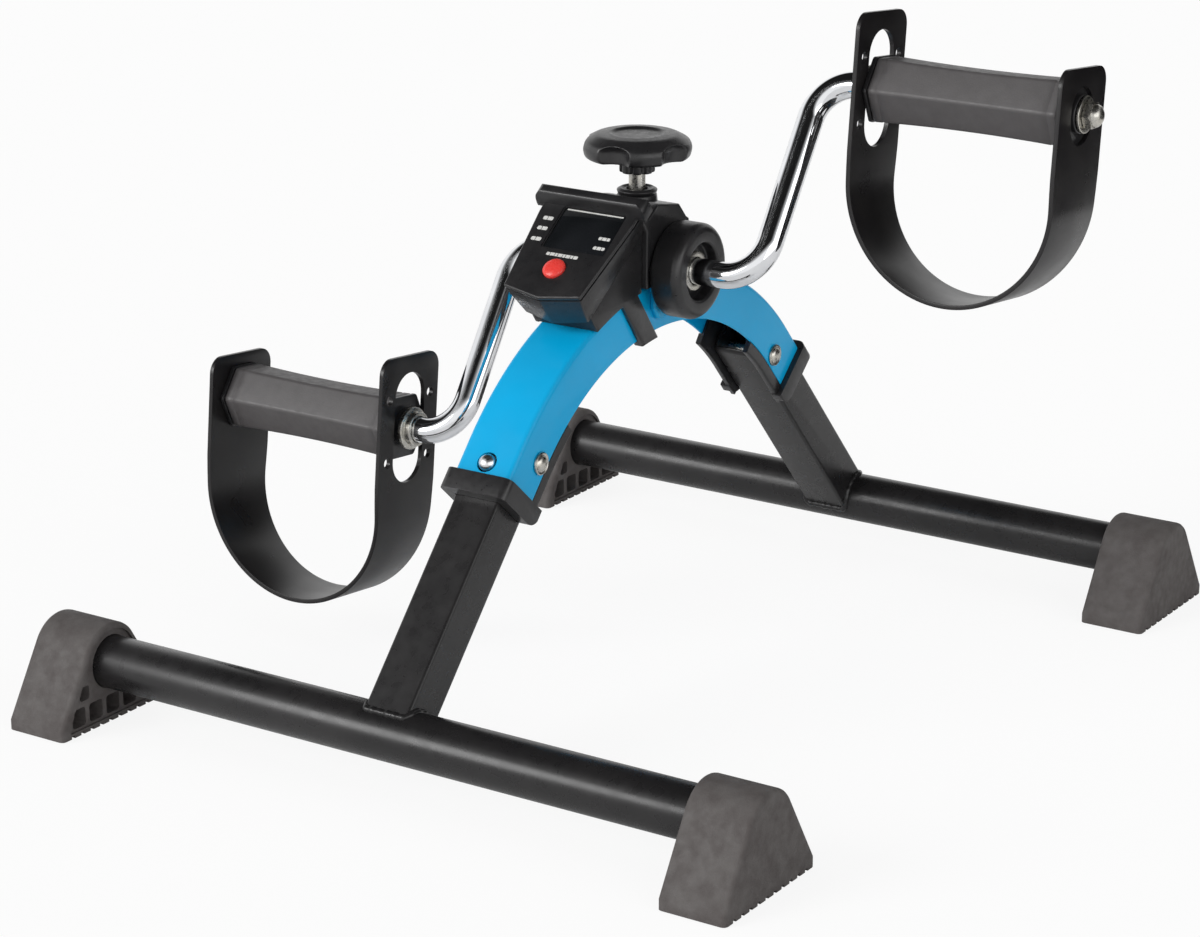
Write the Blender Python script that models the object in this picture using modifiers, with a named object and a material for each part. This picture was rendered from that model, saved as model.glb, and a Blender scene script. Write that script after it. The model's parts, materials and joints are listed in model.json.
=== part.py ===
"""Pedal exerciser with folding legs: one named Blender object for each separate piece, in metres.

+X runs along the rails and the crank shaft, -Y is the user's side, and the floor is at Z = 0.
"""
import math

import bmesh
import bpy
from mathutils import Matrix, Vector

for old in list(bpy.data.objects):
    bpy.data.objects.remove(old, do_unlink=True)

# Clearances: between pieces that touch, and between pieces that are pressed or pinned together
GAP = 0.0003
TIGHT = 0.00025

# Cutters: how far one runs past the faces it opens, and how far a drill runs each way
OVERCUT = 0.006
THROUGH = 0.030

# Base: a rail across the floor at the user's side and one at the far side, each with two rubber feet
RAIL_RADIUS = 0.0127
RAIL_WALL = 0.0015
RAIL_HALF = 0.188
RAIL_Y = 0.202
RAIL_Z = 0.029
FOOT_LENGTH = 0.0335
FOOT_END_WALL = 0.0085
FOOT_HALF_BASE = 0.037
FOOT_TOP_RADIUS = 0.019
FOOT_SIDE = 0.005
FOOT_SOLE = 0.0036
FOOT_FLANK = 0.007
FOOT_RIB = 0.0028
FOOT_CELLS = 5
FOOT_CELL_DEPTH = 0.023
FOOT_CELL_HEIGHT = 0.0092
SIDE_CELL = 0.0068
SOLE_GROOVES = 10
SOLE_PITCH = 0.0066
GROOVE_WIDTH = 0.0026
GROOVE_DEPTH = 0.0014
FOOT_OUTER_X = RAIL_HALF + FOOT_END_WALL
FOOT_INNER_X = FOOT_OUTER_X - FOOT_LENGTH
FOOT_CELL_PITCH = 2 * (FOOT_HALF_BASE - FOOT_FLANK) / FOOT_CELLS

# Legs: a square tube leaning in from its rail, measured as s along the leg and n outwards
LEG_ANGLE = math.radians(48.0)
LEG_HALF_WIDTH = 0.012
LEG_HALF_DEPTH = 0.0115
LEG_WALL = 0.0015
PIN_RADIUS = 0.003
PIN_HEAD_RADIUS = 0.0055
PIN_HEAD_HEIGHT = 0.0024
SNAP_RADIUS = 0.0042
SNAP_RISE = 0.003
CLIP_THICK = 0.001
CLIP_HALF_WIDTH = 0.0045
CLIP_TIP = 0.0057
CLIP_BACK = 0.0183
CLIP_BEND_RADIUS = 0.0064

# Arch: a channel with its open side down, straight at both ends and bent to a radius between them
ARCH_RADIUS = 0.1457
ARCH_STEPS = 20
CHANNEL_WALL = 0.0015
CHANNEL_ROOM = 0.0023
CHANNEL_LOW = -0.0087
CHANNEL_STRAIGHT = 0.01617
PIVOT_INSET = 0.0176
PIVOT_N = -0.0025
SNAP_INSET = 0.0064
LINER_WEB = 0.0011
LINER_WEB_TOP = 0.009
LINER_COLLAR = 0.010
LINER_HALF_WIDTH = 0.018
LINER_TOP = 0.0185
LINER_LOW = -0.0155
LINER_CORNER = 0.003
LINER_REACH = 0.028
CHANNEL_HALF_WIDTH = LEG_HALF_WIDTH + GAP + LINER_WEB + GAP + CHANNEL_WALL
CHANNEL_TOP = LEG_HALF_DEPTH + CHANNEL_ROOM + CHANNEL_WALL
SIN = math.sin(LEG_ANGLE)
COS = math.cos(LEG_ANGLE)
TANGENT_S = (RAIL_Y - ARCH_RADIUS * SIN) / COS
CHANNEL_END_S = TANGENT_S - CHANNEL_STRAIGHT
PIVOT_S = CHANNEL_END_S + PIVOT_INSET
SNAP_S = CHANNEL_END_S + SNAP_INSET
ARCH_Z = RAIL_Z + TANGENT_S * SIN - ARCH_RADIUS * COS
ARCH_TOTAL = 2 * TANGENT_S + 2 * LEG_ANGLE * ARCH_RADIUS
CROWN_Z = ARCH_Z + ARCH_RADIUS + CHANNEL_TOP

# Crank: a shaft across the top of the arch, an arm each side and a pedal at each end
SHAFT_RISE = 0.0059
ROD_RADIUS = 0.00635
SLEEVE_WALL = 0.00115
SLEEVE_HALF = 0.021
ROD_START_X = 0.0025
CRANK_RADIUS = 0.101
CRANK_ANGLE = math.radians(58.5)
ARM_X = 0.067
ARM_END_X = 0.070
BEND_RADIUS = 0.020
BEND_STEPS = 6
ROD_PROUD = 0.0017
STUD_RADIUS = 0.004
STUD_LENGTH = 0.0065
ROLL_PIN_RADIUS = 0.0015
ROLL_PIN_X = 0.012
MAGNET_RADIUS = 0.0103
MAGNET_X = -0.0079
MAGNET_WIDTH = 0.003
WASHER_RADIUS = 0.0095
WASHER_THICK = 0.002
COLLAR_RADIUS = 0.0085
COLLAR_FLANGE_RADIUS = 0.0105
COLLAR_FLANGE = 0.002
COLLAR_LENGTH = 0.0055
END_WASHER_THICK = 0.0015
CAP_NUT_RADIUS = 0.0072
CAP_NUT_HEIGHT = 0.004
CAP_DOME_RADIUS = 0.0059
CAP_DOME_RISE = 0.0038
SHAFT_Z = CROWN_Z + SHAFT_RISE
ROD_BORE = ROD_RADIUS + TIGHT
SLEEVE_RADIUS = ROD_BORE + SLEEVE_WALL
PEDAL_Y = CRANK_RADIUS * math.cos(CRANK_ANGLE)
PEDAL_RISE = CRANK_RADIUS * math.sin(CRANK_ANGLE)

# Pedal: a six-sided tread on two end plugs, and the strap that loops under it
PEDAL_TILT = math.radians(-6.0)
INNER_PLATE_X = 0.099
OUTER_PLATE_X = 0.203
STRAP_THICK = 0.0022
STRAP_WIDTH = 0.046
STRAP_LOW_WIDTH = 0.036
STRAP_INNER_TOP = 0.036
STRAP_OUTER_TOP = 0.021
STRAP_CORNER = 0.008
STRAP_TURN = -0.042
STRAP_TAPER_START = -0.030
STRAP_TAPER = 0.064
SLOT_ROOM = 0.001
INNER_SLOT_HALF = 0.0285
OUTER_SLOT_HALF = 0.0205
OUTER_SLOT_DROP = 0.005
STRAP_HOLE_RADIUS = 0.0019
STRAP_HOLE_INSET = 0.006
STRAP_HOLE_Z = 0.016
TREAD_RADIUS = 0.0155
TREAD_CORNER = 0.003
TREAD_FLARE = 0.0012
TREAD_CHAMFER = 0.0013
PLUG_WALL = 0.00155
PLUG_PROUD = 0.0016
PLUG_BOSS_RADIUS = 0.009
PLUG_FLANGE_RADIUS = 0.013
PLUG_FLANGE = 0.002
PLUG_SPIGOT = 0.0136
PLUG_BORE = ROD_RADIUS + GAP
TREAD_BORE = PLUG_BORE + PLUG_WALL + GAP
ROD_END_X = OUTER_PLATE_X + ROD_PROUD

# Bracket, bushes, bearing cups and brake round the shaft
BRACKET_HALF_WIDTH = 0.018
BRACKET_HALF_DEPTH = 0.012
BRACKET_RISE = 0.019
BRACKET_WEB = 0.0025
BRACKET_DROP = 0.0186
BRACKET_CHAMFER = 0.004
BUSH_RADIUS = 0.0094
BUSH_FLANGE_RADIUS = 0.0125
BUSH_FLANGE = 0.002
CUP_RADIUS = 0.023
CUP_LENGTH = 0.0164
CUP_RECESS_RADIUS = 0.0138
CUP_RECESS = 0.006
CUP_ROUND = 0.004
SHOE_HALF_WIDTH = 0.0055
SHOE_HALF_DEPTH = 0.009
SHOE_RISE = 0.012
SHOE_SOCKET = 0.004
NUT_RADIUS = 0.0075
NUT_HEIGHT = 0.0062
REED_SETBACK = 0.0025
REED_DEPTH = 0.0045
CUP_X = BRACKET_HALF_WIDTH + GAP + BUSH_FLANGE + GAP

# Tension knob on its screw, and the cover it stands on
SCREW_RADIUS = 0.004
KNOB_RISE = 0.0405
KNOB_RADIUS = 0.0262
KNOB_HEIGHT = 0.0158
KNOB_DISH_RADIUS = 0.0125
KNOB_DISH = 0.0008
KNOB_EDGE = 0.0046
KNOB_HUB_RADIUS = 0.0085
KNOB_HUB_HEIGHT = 0.007
KNOB_BORE_DEPTH = 0.0094
KNOB_LOBES = 5
SCALLOP_RADIUS = 0.010
SCALLOP_OUT = 0.0043
SCALLOP_ROOF = 0.005
COVER_RISE = 0.0335
COVER_REAR = 0.0146
COVER_WALL = 0.002
COVER_EAVE = 0.0068
COVER_BEVEL = 0.0106
COVER_SKIRT = 0.0045
GROMMET_RADIUS = 0.0098
GROMMET_HEIGHT = 0.0026
COVER_HALF_WIDTH = CUP_X - GAP
COVER_ROOF = SHAFT_Z + COVER_RISE

# Display: a panel that slopes up away from the user, measured as p up the slope and q into the case
PANEL_ANGLE = math.radians(36.0)
PANEL_Y = -0.085
PANEL_RISE = 0.0074
PANEL_LENGTH = 0.062
PANEL_HALF_WIDTH = 0.026
PANEL_FRONT_HALF = 0.021
PANEL_NOSE = 0.004
PANEL_SHOULDER = 0.012
BEZEL_THICK = 0.0025
RIDGE_HALF_WIDTH = 0.030
RIDGE_DEPTH = 0.0075
RIDGE_HEIGHT = 0.0048
CASE_DEPTH = 0.020
CASE_SIDE_TAPER = 0.0075
CASE_FRONT_TAPER = 0.0045
CASE_NOSE_TAPER = 0.0015
CASE_WALL = 0.0025
CASE_SIDE_WALL = 0.0045
ROOM_DEPTH = 0.0083
WELL_STEP = 0.003
TAB_FRONT = 0.008
TAB_MIDDLE = 0.030
TAB_REAR = 0.020
TAB_WALL = 0.0023
TAB_HOLD = 0.0028
TAB_HOLLOW = 0.042
WINDOW_LEFT = -0.013
WINDOW_RIGHT = 0.020
WINDOW_TOP = 0.008
MODULE_THICK = 0.0022
MODULE_RIM = 0.0015
BOARD_THICK = 0.0016
CELL_RADIUS = 0.0058
CELL_THICK = 0.0054
BUTTON_P = 0.0176
BUTTON_RADIUS = 0.0055
BUTTON_RISE = 0.0026
BUTTON_FLANGE_RADIUS = 0.0068
BUTTON_FLANGE = 0.0012
BUTTON_STEM_RADIUS = 0.003
WINDOW_MARGIN = 0.0124
PANEL_Z = CROWN_Z + PANEL_RISE

PARTS = bpy.data.collections.new("pedal_exerciser")
CUTTERS = bpy.data.collections.new("cutters")
bpy.context.scene.collection.children.link(PARTS)
bpy.context.scene.collection.children.link(CUTTERS)


def paint(name, colour, roughness, metallic=0.0):
    mat = bpy.data.materials.new(name)
    mat.use_nodes = True
    shader = mat.node_tree.nodes["Principled BSDF"]
    shader.inputs["Base Color"].default_value = (*colour, 1.0)
    shader.inputs["Roughness"].default_value = roughness
    shader.inputs["Metallic"].default_value = metallic
    mat.diffuse_color = (*colour, 1.0)
    return mat


BLUE = paint("blue_paint", (0.0, 0.28, 0.62), 0.25)
COAT = paint("black_powder_coat", (0.012, 0.012, 0.013), 0.35)
CHROME = paint("chrome_rod", (0.8, 0.8, 0.8), 0.08, 1.0)
ZINC = paint("zinc_plate", (0.62, 0.62, 0.6), 0.3, 1.0)
PLASTIC = paint("black_plastic", (0.015, 0.015, 0.016), 0.45)
RUBBER = paint("foot_rubber", (0.03, 0.03, 0.032), 0.75)
VINYL = paint("grey_tread", (0.09, 0.085, 0.085), 0.5)
STRAP = paint("strap_plastic", (0.02, 0.02, 0.021), 0.5)
NYLON = paint("white_nylon", (0.75, 0.74, 0.7), 0.5)
RED = paint("red_button", (0.7, 0.02, 0.02), 0.35)
GLASS = paint("lcd_glass", (0.03, 0.035, 0.04), 0.1)
LCD = paint("lcd_grey", (0.25, 0.27, 0.22), 0.4)
BOARD = paint("board_green", (0.02, 0.15, 0.05), 0.5)
SPRING = paint("spring_steel", (0.5, 0.5, 0.5), 0.3, 1.0)
BRAKE = paint("brake_felt", (0.3, 0.26, 0.2), 0.9)


# Frames. A plate's outline lies in a frame's first two directions, and a turned piece spins on its third.
def frame(origin, first, second):
    first, second = Vector(first), Vector(second)
    turn = Matrix((first, second, first.cross(second))).transposed()
    return Matrix.Translation(origin) @ turn.to_4x4()


def across(y=0.0, z=0.0, hand=1):
    """Side view: outlines in (y, z), turning about X; with hand -1, turning about -X."""
    if hand < 0:
        return frame((0, y, z), (0, 0, 1), (0, 1, 0))
    return frame((0, y, z), (0, 1, 0), (0, 0, 1))


def leg_view(side):
    """Outlines in (s, n) on a leg, from its rail's axis; side is -1 at the user and 1 at the far end."""
    return frame((0, side * RAIL_Y, RAIL_Z), (0, -side * COS, SIN), (0, side * SIN, COS))


def leg_section(side):
    """Outlines in (n, x) across a leg, thick along s."""
    return leg_view(side) @ frame((0, 0, 0), (0, 1, 0), (0, 0, 1))


def leg_outward(side, s):
    """Turning about the leg's outward direction, at s along the leg."""
    return leg_view(side) @ frame((s, 0, 0), (0, 0, 1), (1, 0, 0))


UPRIGHT = Matrix.Identity(4)
PANEL = frame((0, PANEL_Y, PANEL_Z), (1, 0, 0), (0, math.cos(PANEL_ANGLE), math.sin(PANEL_ANGLE)))


def panel_yz(p, q):
    """The side-view point at p up the panel and q into the case."""
    spot = PANEL @ Vector((0, p, -q))
    return spot.y, spot.z


def pivot_of(side):
    """The middle of a leg's hinge."""
    return leg_view(side) @ Vector((PIVOT_S, PIVOT_N, 0))


def arch_yz(s, n):
    """The side-view point at s along the arch from the user's rail and n outwards of the leg's line."""
    if s <= TANGENT_S:
        return -(RAIL_Y - s * COS + n * SIN), RAIL_Z + s * SIN + n * COS
    if s >= ARCH_TOTAL - TANGENT_S:
        y, z = arch_yz(ARCH_TOTAL - s, n)
        return -y, z
    angle = LEG_ANGLE - (s - TANGENT_S) / ARCH_RADIUS
    return -(ARCH_RADIUS + n) * math.sin(angle), ARCH_Z + (ARCH_RADIUS + n) * math.cos(angle)


def band(stations, low, high):
    """The side view of a strip that follows the arch between two heights."""
    return [arch_yz(s, high) for s in stations] + [arch_yz(s, low) for s in reversed(stations)]


def arc(centre, radius, start, end, count):
    """Points on an arc, with angles in degrees."""
    points = []
    for i in range(count + 1):
        angle = math.radians(start + (end - start) * i / count)
        points.append((centre[0] + radius * math.cos(angle), centre[1] + radius * math.sin(angle)))
    return points


# Ways to make a piece. With no material it is a cutter, which stays out of the model.
def piece(name, mesh, place, mat):
    obj = bpy.data.objects.new(name, mesh)
    obj.matrix_world = place
    if mat is None:
        CUTTERS.objects.link(obj)
        obj.hide_render = True
        obj.display_type = "WIRE"
    else:
        PARTS.objects.link(obj)
        mesh.materials.append(mat)
    return obj


def from_bmesh(name, work, place, mat):
    bmesh.ops.recalc_face_normals(work, faces=work.faces)
    mesh = bpy.data.meshes.new(name)
    work.to_mesh(mesh)
    work.free()
    mesh.shade_smooth()
    mesh.set_sharp_from_angle(angle=math.radians(35))
    return piece(name, mesh, place, mat)


def from_curve(name, curve, place, mat):
    """Turn a curve into a mesh with its caps welded on."""
    drawn = bpy.data.objects.new(name + "_curve", curve)
    bpy.context.scene.collection.objects.link(drawn)
    shape = bpy.data.meshes.new_from_object(drawn.evaluated_get(bpy.context.evaluated_depsgraph_get()))
    bpy.data.objects.remove(drawn, do_unlink=True)
    work = bmesh.new()
    work.from_mesh(shape)
    bpy.data.meshes.remove(shape)
    bmesh.ops.remove_doubles(work, verts=work.verts, dist=0.000001)
    bmesh.ops.dissolve_limit(work, angle_limit=math.radians(0.2), verts=work.verts, edges=work.edges)
    return from_bmesh(name, work, place, mat)


def plate(name, outline, low, high, place, mat=None):
    """A flat outline, thick from low to high in its frame's third direction."""
    curve = bpy.data.curves.new(name, "CURVE")
    curve.dimensions = "2D"
    curve.fill_mode = "BOTH"
    curve.extrude = (high - low) / 2
    spline = curve.splines.new("POLY")
    spline.points.add(len(outline) - 1)
    for point, (u, v) in zip(spline.points, outline):
        point.co = (u, v, 0, 1)
    spline.use_cyclic_u = True
    return from_curve(name, curve, place @ Matrix.Translation((0, 0, (low + high) / 2)), mat)


def rod(name, radius, low, high, place, mat=None, steps=16):
    """A straight bar, round or with a few flats; as a cutter, a drilled hole."""
    work = bmesh.new()
    bmesh.ops.create_cone(work, cap_ends=True, segments=steps, radius1=radius, radius2=radius, depth=high - low,
                          matrix=Matrix.Translation((0, 0, (low + high) / 2)))
    return from_bmesh(name, work, place, mat)


def block(name, low, high, place=UPRIGHT, mat=None):
    """A box between two corners."""
    low, high = Vector(low), Vector(high)
    size = Matrix.Diagonal((*(high - low), 1))
    work = bmesh.new()
    bmesh.ops.create_cube(work, size=1, matrix=Matrix.Translation((low + high) / 2) @ size)
    return from_bmesh(name, work, place, mat)


def turned(name, profile, place, mat=None, steps=20):
    """A profile of (radius, height), listed down its outer side and spun about the frame's third direction."""
    mesh = bpy.data.meshes.new(name)
    edges = [(i, i + 1) for i in range(len(profile) - 1)]
    if min(radius for radius, height in profile) > 0:
        edges.append((len(profile) - 1, 0))
    mesh.from_pydata([(radius, 0, height) for radius, height in profile], edges, [])
    obj = piece(name, mesh, place, mat)
    spin = obj.modifiers.new("spin", "SCREW")
    spin.steps = steps
    spin.render_steps = steps
    spin.use_merge_vertices = True
    spin.merge_threshold = 0.00001
    return obj


def loft(name, sections, mat):
    """A skin over unlike sections that have the same number of points."""
    work = bmesh.new()
    rings = [[work.verts.new(point) for point in section] for section in sections]
    for low, high in zip(rings, rings[1:]):
        for i in range(len(low)):
            j = (i + 1) % len(low)
            work.faces.new((low[i], low[j], high[j], high[i]))
    work.faces.new(rings[0])
    work.faces.new(rings[-1])
    return from_bmesh(name, work, UPRIGHT, mat)


def cut(target, tool, operation="DIFFERENCE"):
    change = target.modifiers.new(tool.name, "BOOLEAN")
    change.operation = operation
    change.solver = "EXACT"
    change.object = tool


def join(target, tool):
    cut(target, tool, "UNION")


def round_edges(target, width, segments=2):
    change = target.modifiers.new("rounded", "BEVEL")
    change.width = width
    change.segments = segments
    change.limit_method = "ANGLE"
    change.angle_limit = math.radians(50)


def carried_by(axis_name, location, pieces):
    """Hang pieces from an empty that stands on their joint's axis."""
    hook = bpy.data.objects.new(axis_name, None)
    hook.location = location
    hook.empty_display_size = 0.02
    PARTS.objects.link(hook)
    for item in pieces:
        item.parent = hook
        item.matrix_parent_inverse = Matrix.Translation(-Vector(location))


# Arch channel: a bent bar hollowed from below, with hinge holes, snap holes and a notch for the shaft
def build_arch():
    bend = 2 * LEG_ANGLE * ARCH_RADIUS
    curve = [TANGENT_S + bend * i / ARCH_STEPS for i in range(ARCH_STEPS + 1)]
    whole = [CHANNEL_END_S] + curve + [ARCH_TOTAL - CHANNEL_END_S]
    longer = [CHANNEL_END_S - OVERCUT] + curve + [ARCH_TOTAL - CHANNEL_END_S + OVERCUT]
    arch = plate("arch_channel", band(whole, CHANNEL_LOW, CHANNEL_TOP), -CHANNEL_HALF_WIDTH, CHANNEL_HALF_WIDTH,
                 across(), BLUE)
    round_edges(arch, 0.8 * CHANNEL_WALL, 1)
    inside = CHANNEL_HALF_WIDTH - CHANNEL_WALL
    cut(arch, plate("channel_inside", band(longer, CHANNEL_LOW - OVERCUT, CHANNEL_TOP - CHANNEL_WALL),
                    -inside, inside, across()))
    for side, end in ((-1, "front"), (1, "rear")):
        pivot = pivot_of(side)
        cut(arch, rod(end + "_arch_pin_hole", PIN_RADIUS + GAP, -THROUGH, THROUGH, across(pivot.y, pivot.z)))
        cut(arch, rod(end + "_arch_snap_hole", SNAP_RADIUS + 2.7 * GAP, LEG_HALF_DEPTH, THROUGH,
                      leg_outward(side, SNAP_S)))
    notch_low = SHAFT_Z - MAGNET_RADIUS - 3 * GAP
    cut(arch, block("shaft_notch", (-THROUGH, -BRACKET_HALF_DEPTH, notch_low),
                    (THROUGH, BRACKET_HALF_DEPTH, SHAFT_Z)))


# A leg with its rail, feet, liner, hinge pin and snap clip
def build_leg(side, end):
    pivot = pivot_of(side)
    hinge = across(pivot.y, pivot.z)
    rail_axis = across(side * RAIL_Y, RAIL_Z)
    reach = LEG_HALF_DEPTH - PIVOT_N
    turn = math.degrees(math.asin((-LEG_HALF_DEPTH - PIVOT_N) / reach))
    outline = [(0.0, -LEG_HALF_DEPTH), (0.0, LEG_HALF_DEPTH)]
    outline += arc((PIVOT_S, PIVOT_N), reach, 90, turn, 9)
    tube = plate(end + "_leg_tube", outline, -LEG_HALF_WIDTH, LEG_HALF_WIDTH, leg_view(side), COAT)
    round_edges(tube, 1.07 * LEG_WALL, 1)
    deep = LEG_HALF_DEPTH - LEG_WALL
    wide = LEG_HALF_WIDTH - LEG_WALL
    cut(tube, block(end + "_leg_inside", (LEG_WALL, -deep, -wide), (PIVOT_S + 2 * reach, deep, wide),
                    leg_view(side)))
    cut(tube, rod(end + "_leg_saddle", RAIL_RADIUS + GAP, -THROUGH, THROUGH, rail_axis, steps=24))
    cut(tube, rod(end + "_leg_pin_hole", PIN_RADIUS + GAP, -THROUGH, THROUGH, hinge))
    cut(tube, rod(end + "_leg_snap_hole", SNAP_RADIUS + 2 * GAP, 0.0, THROUGH, leg_outward(side, SNAP_S)))

    bore = RAIL_RADIUS - RAIL_WALL
    rail = turned(end + "_rail", [(bore, RAIL_HALF), (RAIL_RADIUS, RAIL_HALF), (RAIL_RADIUS, -RAIL_HALF),
                                  (bore, -RAIL_HALF)], rail_axis, COAT, steps=24)
    feet = [build_foot(side, end, hand) for hand in (-1, 1)]
    seat = CHANNEL_HALF_WIDTH + GAP
    shoulder = seat + 0.46 * PIN_HEAD_HEIGHT
    crest = seat + 0.88 * PIN_HEAD_HEIGHT
    top = seat + PIN_HEAD_HEIGHT
    half = [(0.64 * PIN_HEAD_RADIUS, crest), (PIN_HEAD_RADIUS, shoulder), (PIN_HEAD_RADIUS, seat), (PIN_RADIUS, seat)]
    profile = [(0, top)] + half + [(radius, -x) for radius, x in reversed(half)] + [(0, -top)]
    turned(end + "_hinge_pin", profile, hinge, ZINC, steps=10)
    build_liner(side, end, hinge)
    clip = build_clip(side, end)
    carried_by(end + "_leg_axis", pivot, [tube, rail] + feet)
    carried_by(end + "_snap_axis", leg_view(side) @ Vector((SNAP_S, CHANNEL_TOP, 0)), [clip])


def build_foot(side, end, hand):
    """A rubber foot: rounded over the rail, straight flanks, an open-celled inner face and a grooved sole."""
    name = end + ("_left_foot" if hand < 0 else "_right_foot")
    flank = 32
    outline = [(-FOOT_HALF_BASE, 0.0), (-FOOT_HALF_BASE, FOOT_SIDE)]
    outline += arc((0, RAIL_Z), FOOT_TOP_RADIUS, 180 - flank, flank, 8)
    outline += [(FOOT_HALF_BASE, FOOT_SIDE), (FOOT_HALF_BASE, 0.0)]
    view = across(side * RAIL_Y, 0)
    foot = plate(name, outline, *sorted((hand * FOOT_INNER_X, hand * FOOT_OUTER_X)), view, RUBBER)
    round_edges(foot, 0.32 * FOOT_SIDE, 1)
    mouth = hand * (FOOT_INNER_X - OVERCUT)
    cut(foot, rod(name + "_socket", RAIL_RADIUS + GAP, *sorted((mouth, hand * (RAIL_HALF + GAP))),
                  across(side * RAIL_Y, RAIL_Z), steps=20))
    x_low, x_high = sorted((mouth, hand * (FOOT_INNER_X + FOOT_CELL_DEPTH)))
    half = (FOOT_CELL_PITCH - FOOT_RIB) / 2
    cell_top = FOOT_SOLE + FOOT_CELL_HEIGHT
    for i in range(FOOT_CELLS):
        y = FOOT_CELL_PITCH * (i - (FOOT_CELLS - 1) / 2)
        cut(foot, block("%s_cell_%d" % (name, i), (y - half, FOOT_SOLE, x_low), (y + half, cell_top, x_high), view))
    z = cell_top + FOOT_RIB
    for i, y in enumerate((-RAIL_RADIUS - SIDE_CELL, RAIL_RADIUS + SIDE_CELL)):
        cut(foot, block("%s_side_cell_%d" % (name, i), (y - SIDE_CELL / 2, z, x_low),
                        (y + SIDE_CELL / 2, z + SIDE_CELL, x_high), view))
    x_low, x_high = sorted((mouth, hand * (FOOT_OUTER_X + OVERCUT)))
    half = GROOVE_WIDTH / 2
    for i in range(SOLE_GROOVES):
        y = SOLE_PITCH * (i - (SOLE_GROOVES - 1) / 2)
        cut(foot, block("%s_groove_%d" % (name, i), (y - half, -OVERCUT, x_low), (y + half, GROOVE_DEPTH, x_high),
                        view))
    return foot


def build_clip(side, end):
    """The leaf-spring snap clip inside the leg: two arms from a bend, and the dome that locks the leg open."""
    half = CLIP_THICK / 2
    tip_s, tip_n = SNAP_S + CLIP_TIP, LEG_HALF_DEPTH - LEG_WALL - CLIP_THICK
    middle = [(tip_s, tip_n)] + arc((SNAP_S - CLIP_BACK, 0), CLIP_BEND_RADIUS, 90, 270, 6) + [(tip_s, -tip_n)]
    outside = []
    inside = []
    for i, spot in enumerate(middle):
        before, after = Vector(middle[max(i - 1, 0)]), Vector(middle[min(i + 1, len(middle) - 1)])
        along = (after - before).normalized()
        outside.append((spot[0] - along.y * half, spot[1] + along.x * half))
        inside.append((spot[0] + along.y * half, spot[1] - along.x * half))
    clip = plate(end + "_snap_clip", outside + inside[::-1], -CLIP_HALF_WIDTH, CLIP_HALF_WIDTH, leg_view(side),
                 SPRING)
    root = tip_n - 1.2 * half
    dome = [(0, CHANNEL_TOP + SNAP_RISE), (0.57 * SNAP_RADIUS, CHANNEL_TOP + 0.83 * SNAP_RISE),
            (0.88 * SNAP_RADIUS, CHANNEL_TOP + 0.43 * SNAP_RISE), (SNAP_RADIUS, CHANNEL_TOP - 0.17 * SNAP_RISE),
            (SNAP_RADIUS, root), (0, root)]
    join(clip, turned(end + "_snap_dome", dome, leg_outward(side, SNAP_S), steps=12))
    return clip


def build_liner(side, end, hinge):
    """The plastic liner at a channel end: a collar round the leg and a lipped flange up each side."""
    inside = LEG_HALF_WIDTH + GAP
    over = LEG_HALF_DEPTH + GAP
    outer = LINER_HALF_WIDTH - LINER_CORNER
    crest = LINER_TOP - LINER_CORNER
    collar = [(LINER_LOW, LINER_HALF_WIDTH), (LINER_LOW, inside), (over, inside), (over, -inside),
              (LINER_LOW, -inside), (LINER_LOW, -LINER_HALF_WIDTH)]
    collar += arc((crest, -outer), LINER_CORNER, -90, 0, 3) + arc((crest, outer), LINER_CORNER, 0, 90, 3)
    stop = CHANNEL_END_S - GAP
    start = stop - LINER_COLLAR
    liner = plate(end + "_liner", collar, start, stop, leg_section(side), PLASTIC)
    # The web and the lip start inside the collar, a step apart so that no two of their faces lie in one plane
    step = 1.3 * GAP
    sink = 0.14 * LINER_COLLAR
    stations = [start + sink, TANGENT_S] + [TANGENT_S + LINER_REACH * i / 4 for i in range(1, 5)]
    web = band(stations, LINER_LOW + GAP, LINER_WEB_TOP)
    lip = band([start + sink + step] + stations[1:-1] + [stations[-1] - step], LINER_LOW + 2 * GAP, CHANNEL_LOW - GAP)
    web_inner = inside + GAP / 6
    web_outer = CHANNEL_HALF_WIDTH - CHANNEL_WALL - GAP
    for hand, word in ((-1, "left"), (1, "right")):
        for part, strip, near, far in (("web", web, web_inner, web_outer),
                                       ("lip", lip, web_outer - step, CHANNEL_HALF_WIDTH)):
            shape = [(-side * y, z) for y, z in strip]
            join(liner, plate("%s_%s_%s" % (end, word, part), shape, *sorted((hand * near, hand * far)), across()))
    cut(liner, rod(end + "_liner_pin_hole", PIN_RADIUS + GAP, -THROUGH, THROUGH, hinge))


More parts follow.
